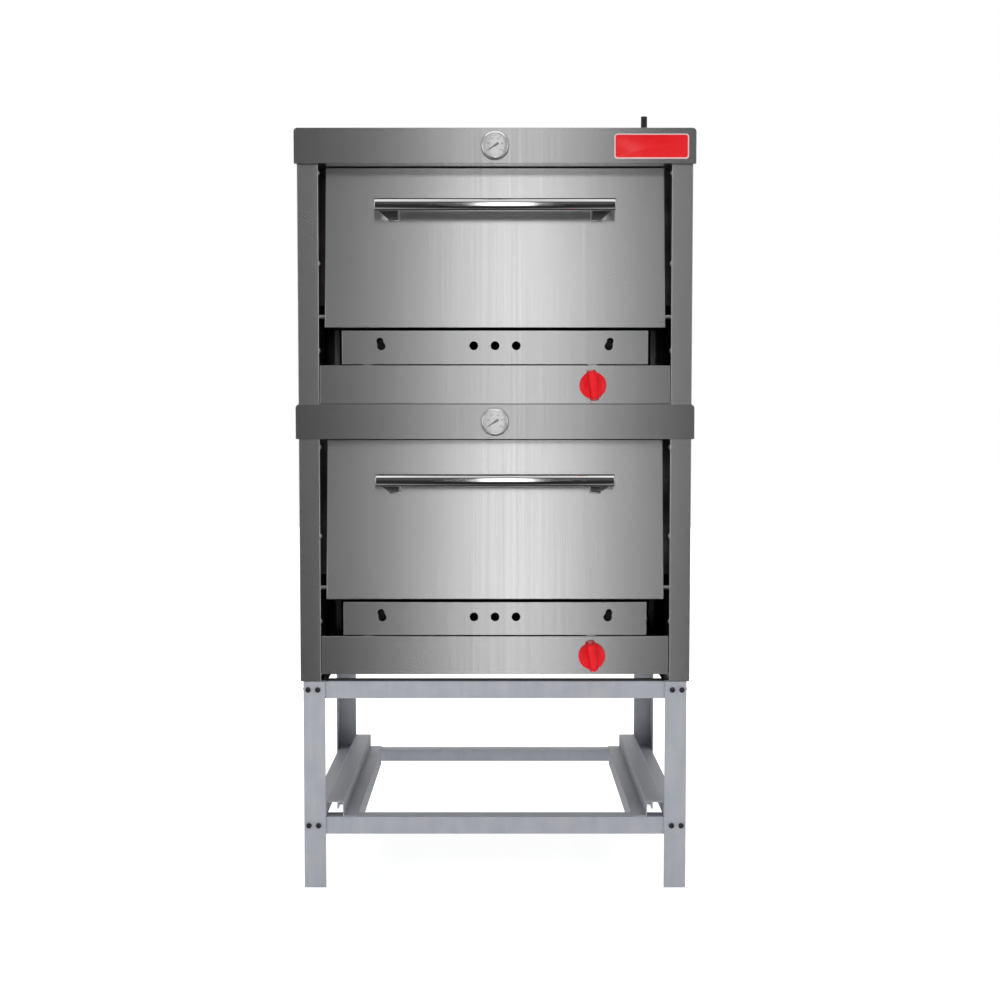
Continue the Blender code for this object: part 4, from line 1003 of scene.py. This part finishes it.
def build_studio():
    bm = bmesh.new()
    bmesh.ops.create_circle(bm, cap_ends=True, segments=96, radius=12)
    floor = bpy.data.objects.new("studio_floor", to_mesh(bm, "studio_floor"))
    bpy.context.scene.collection.objects.link(floor)
    floor.data.materials.append(STUDIO)
    floor.visible_glossy = False
    # the room that lights the object is dim in front, so that the fronts shade off to their ends
    world = bpy.data.worlds.new("studio")
    bpy.context.scene.world = world
    world.use_nodes = True
    tree = world.node_tree
    tree.nodes.clear()
    seen = add(tree, "ShaderNodeLightPath").outputs["Is Camera Ray"]
    way = add(tree, "ShaderNodeTexCoord").outputs["Generated"]
    height = add(tree, "ShaderNodeSeparateXYZ", {"Vector": way}).outputs["Z"]
    level = add(tree, "ShaderNodeVectorMath", {0: way, 1: (1, 1, 0)}, operation="MULTIPLY").outputs[0]
    heading = add(tree, "ShaderNodeVectorMath", {0: level}, operation="NORMALIZE").outputs[0]
    forwards = {0: heading, 1: (0, -1, 0)}
    ahead = add(tree, "ShaderNodeVectorMath", forwards, operation="DOT_PRODUCT").outputs["Value"]
    walls = remap(tree, height, *SIDE_WALLS)
    dark_end = remap(tree, height, *DARK_END)
    in_front = remap(tree, ahead, *FRONT_SECTOR)
    shade = add(tree, "ShaderNodeMix", {0: in_front, 2: walls, 3: dark_end}, data_type="FLOAT").outputs[0]
    room = add(tree, "ShaderNodeBackground", {"Color": linear("#FFFFFF"), "Strength": shade})
    backdrop = add(tree, "ShaderNodeBackground", {"Color": linear("#FFFFFF"), "Strength": 1.0})
    both = add(tree, "ShaderNodeMixShader", {0: seen, 1: room.outputs[0], 2: backdrop.outputs[0]})
    add(tree, "ShaderNodeOutputWorld", {"Surface": both.outputs[0]})
    soft_light("front_strip", (0.10, -4.3, 1.5), (0.10, 0, 1.5), (0.50, 4.6), 20)
    soft_light("overhead", (0, -0.6, 4.2), (0, 0, 0.8), (4.0, 4.0), 38)
    soft_light("left_wall", (-3.4, -2.6, 1.4), (0, 0, 0.6), (1.6, 2.6), 13)
    soft_light("right_wall", (3.4, -2.6, 1.4), (0, 0, 0.6), (1.6, 2.6), 8)
    soft_light("back_wall", (0, 4.6, 2.4), (0, 0, 0.9), (4.0, 3.0), 25)


def soft_light(name, place, aim, size, power):
    data = bpy.data.lights.new(name, "AREA")
    data.shape = "RECTANGLE"
    data.size, data.size_y = size
    data.energy = power
    light = bpy.data.objects.new(name, data)
    bpy.context.scene.collection.objects.link(light)
    light.location = place
    light.rotation_euler = (Vector(aim) - Vector(place)).to_track_quat("-Z", "Y").to_euler()


def build_camera():
    data = bpy.data.cameras.new("front_camera")
    data.sensor_width = 36
    data.lens = 53.57
    data.shift_x = 0.005
    data.shift_y = 0.0097
    camera = bpy.data.objects.new("front_camera", data)
    bpy.context.scene.collection.objects.link(camera)
    camera.location = (0.0, -3.750, 1.065)
    camera.rotation_euler = (math.radians(90 - 3.246), 0, 0)
    bpy.context.scene.camera = camera


UPRIGHT = (1, 0.004, 0.004)
# The headers and the control and burner panels are the same sheet as the doors; their darker tones are
# painted shade.
BRIGHT = ("#BFBFC0", "#CBCBCC", "#B4B4B6", "#D0D0CF")
SHADED_TONES = ("#AEAEAF", "#B9B9BA", "#A4A4A6", "#BDBDBC")
DEEPER_SHADED_TONES = ("#A0A0A1", "#ABABAC", "#969698", "#AFAFAE")
STAINLESS = brushed_stainless("brushed_430_stainless_doors", UPRIGHT, "X", 0.25, BRIGHT)
STAINLESS_PANEL_SHADED = brushed_stainless("brushed_430_stainless_panels_painted_shade", UPRIGHT, "X", 0.25, SHADED_TONES)
STAINLESS_HEADER_SHADED = brushed_stainless("brushed_430_stainless_headers_painted_shade", UPRIGHT, "X", 0.25, DEEPER_SHADED_TONES)
STAINLESS_SIDE = brushed_stainless("brushed_430_stainless_sides", (1, 1, 0.004), "Z", 0.0, BRIGHT)
INNER_SHEET_AND_SHADE = heat_blackened_and_shaded_sheet()
POLISHED = polished_steel()
STAND_PAINT = stand_paint()
PIPE_BLACK = pipe_paint()
RED_PHENOLIC = knob_plastic()
PLATE_RED = badge_enamel()
PLATE_EDGE = plate_border()
BURNER = burner_iron()
BRASS = machined_brass()
FIRECLAY = hearth_stone()
DIAL = dial_enamel()
INK = dial_ink()
GLASS = dial_glass()
ZINC = zinc_steel()
BOLT_BLACK = black_bolt_steel()
STUDIO = studio_floor_paint()

FASTENER_TREE = fastener_tree()
TICK_TREE = tick_tree()
PAN_SCREW = pan_screw()
HEX_BOLT = hex_bolt()
HEX_NUT = hex_nut()

bpy.context.scene.view_settings.view_transform = "Standard"
build_camera()
build_studio()
for deck in DECKS:
    finish_casing(deck)
    casing_screws(deck)
    build_handle(deck)
    door_liner_screws(deck)
    finish_rod(deck)
    build_knob(deck)
    build_thermometer(deck)
    finish_gas_train(deck)
finish_carried("gas_riser_pipe", PIPE_BLACK)
build_badge()
finish_stand()
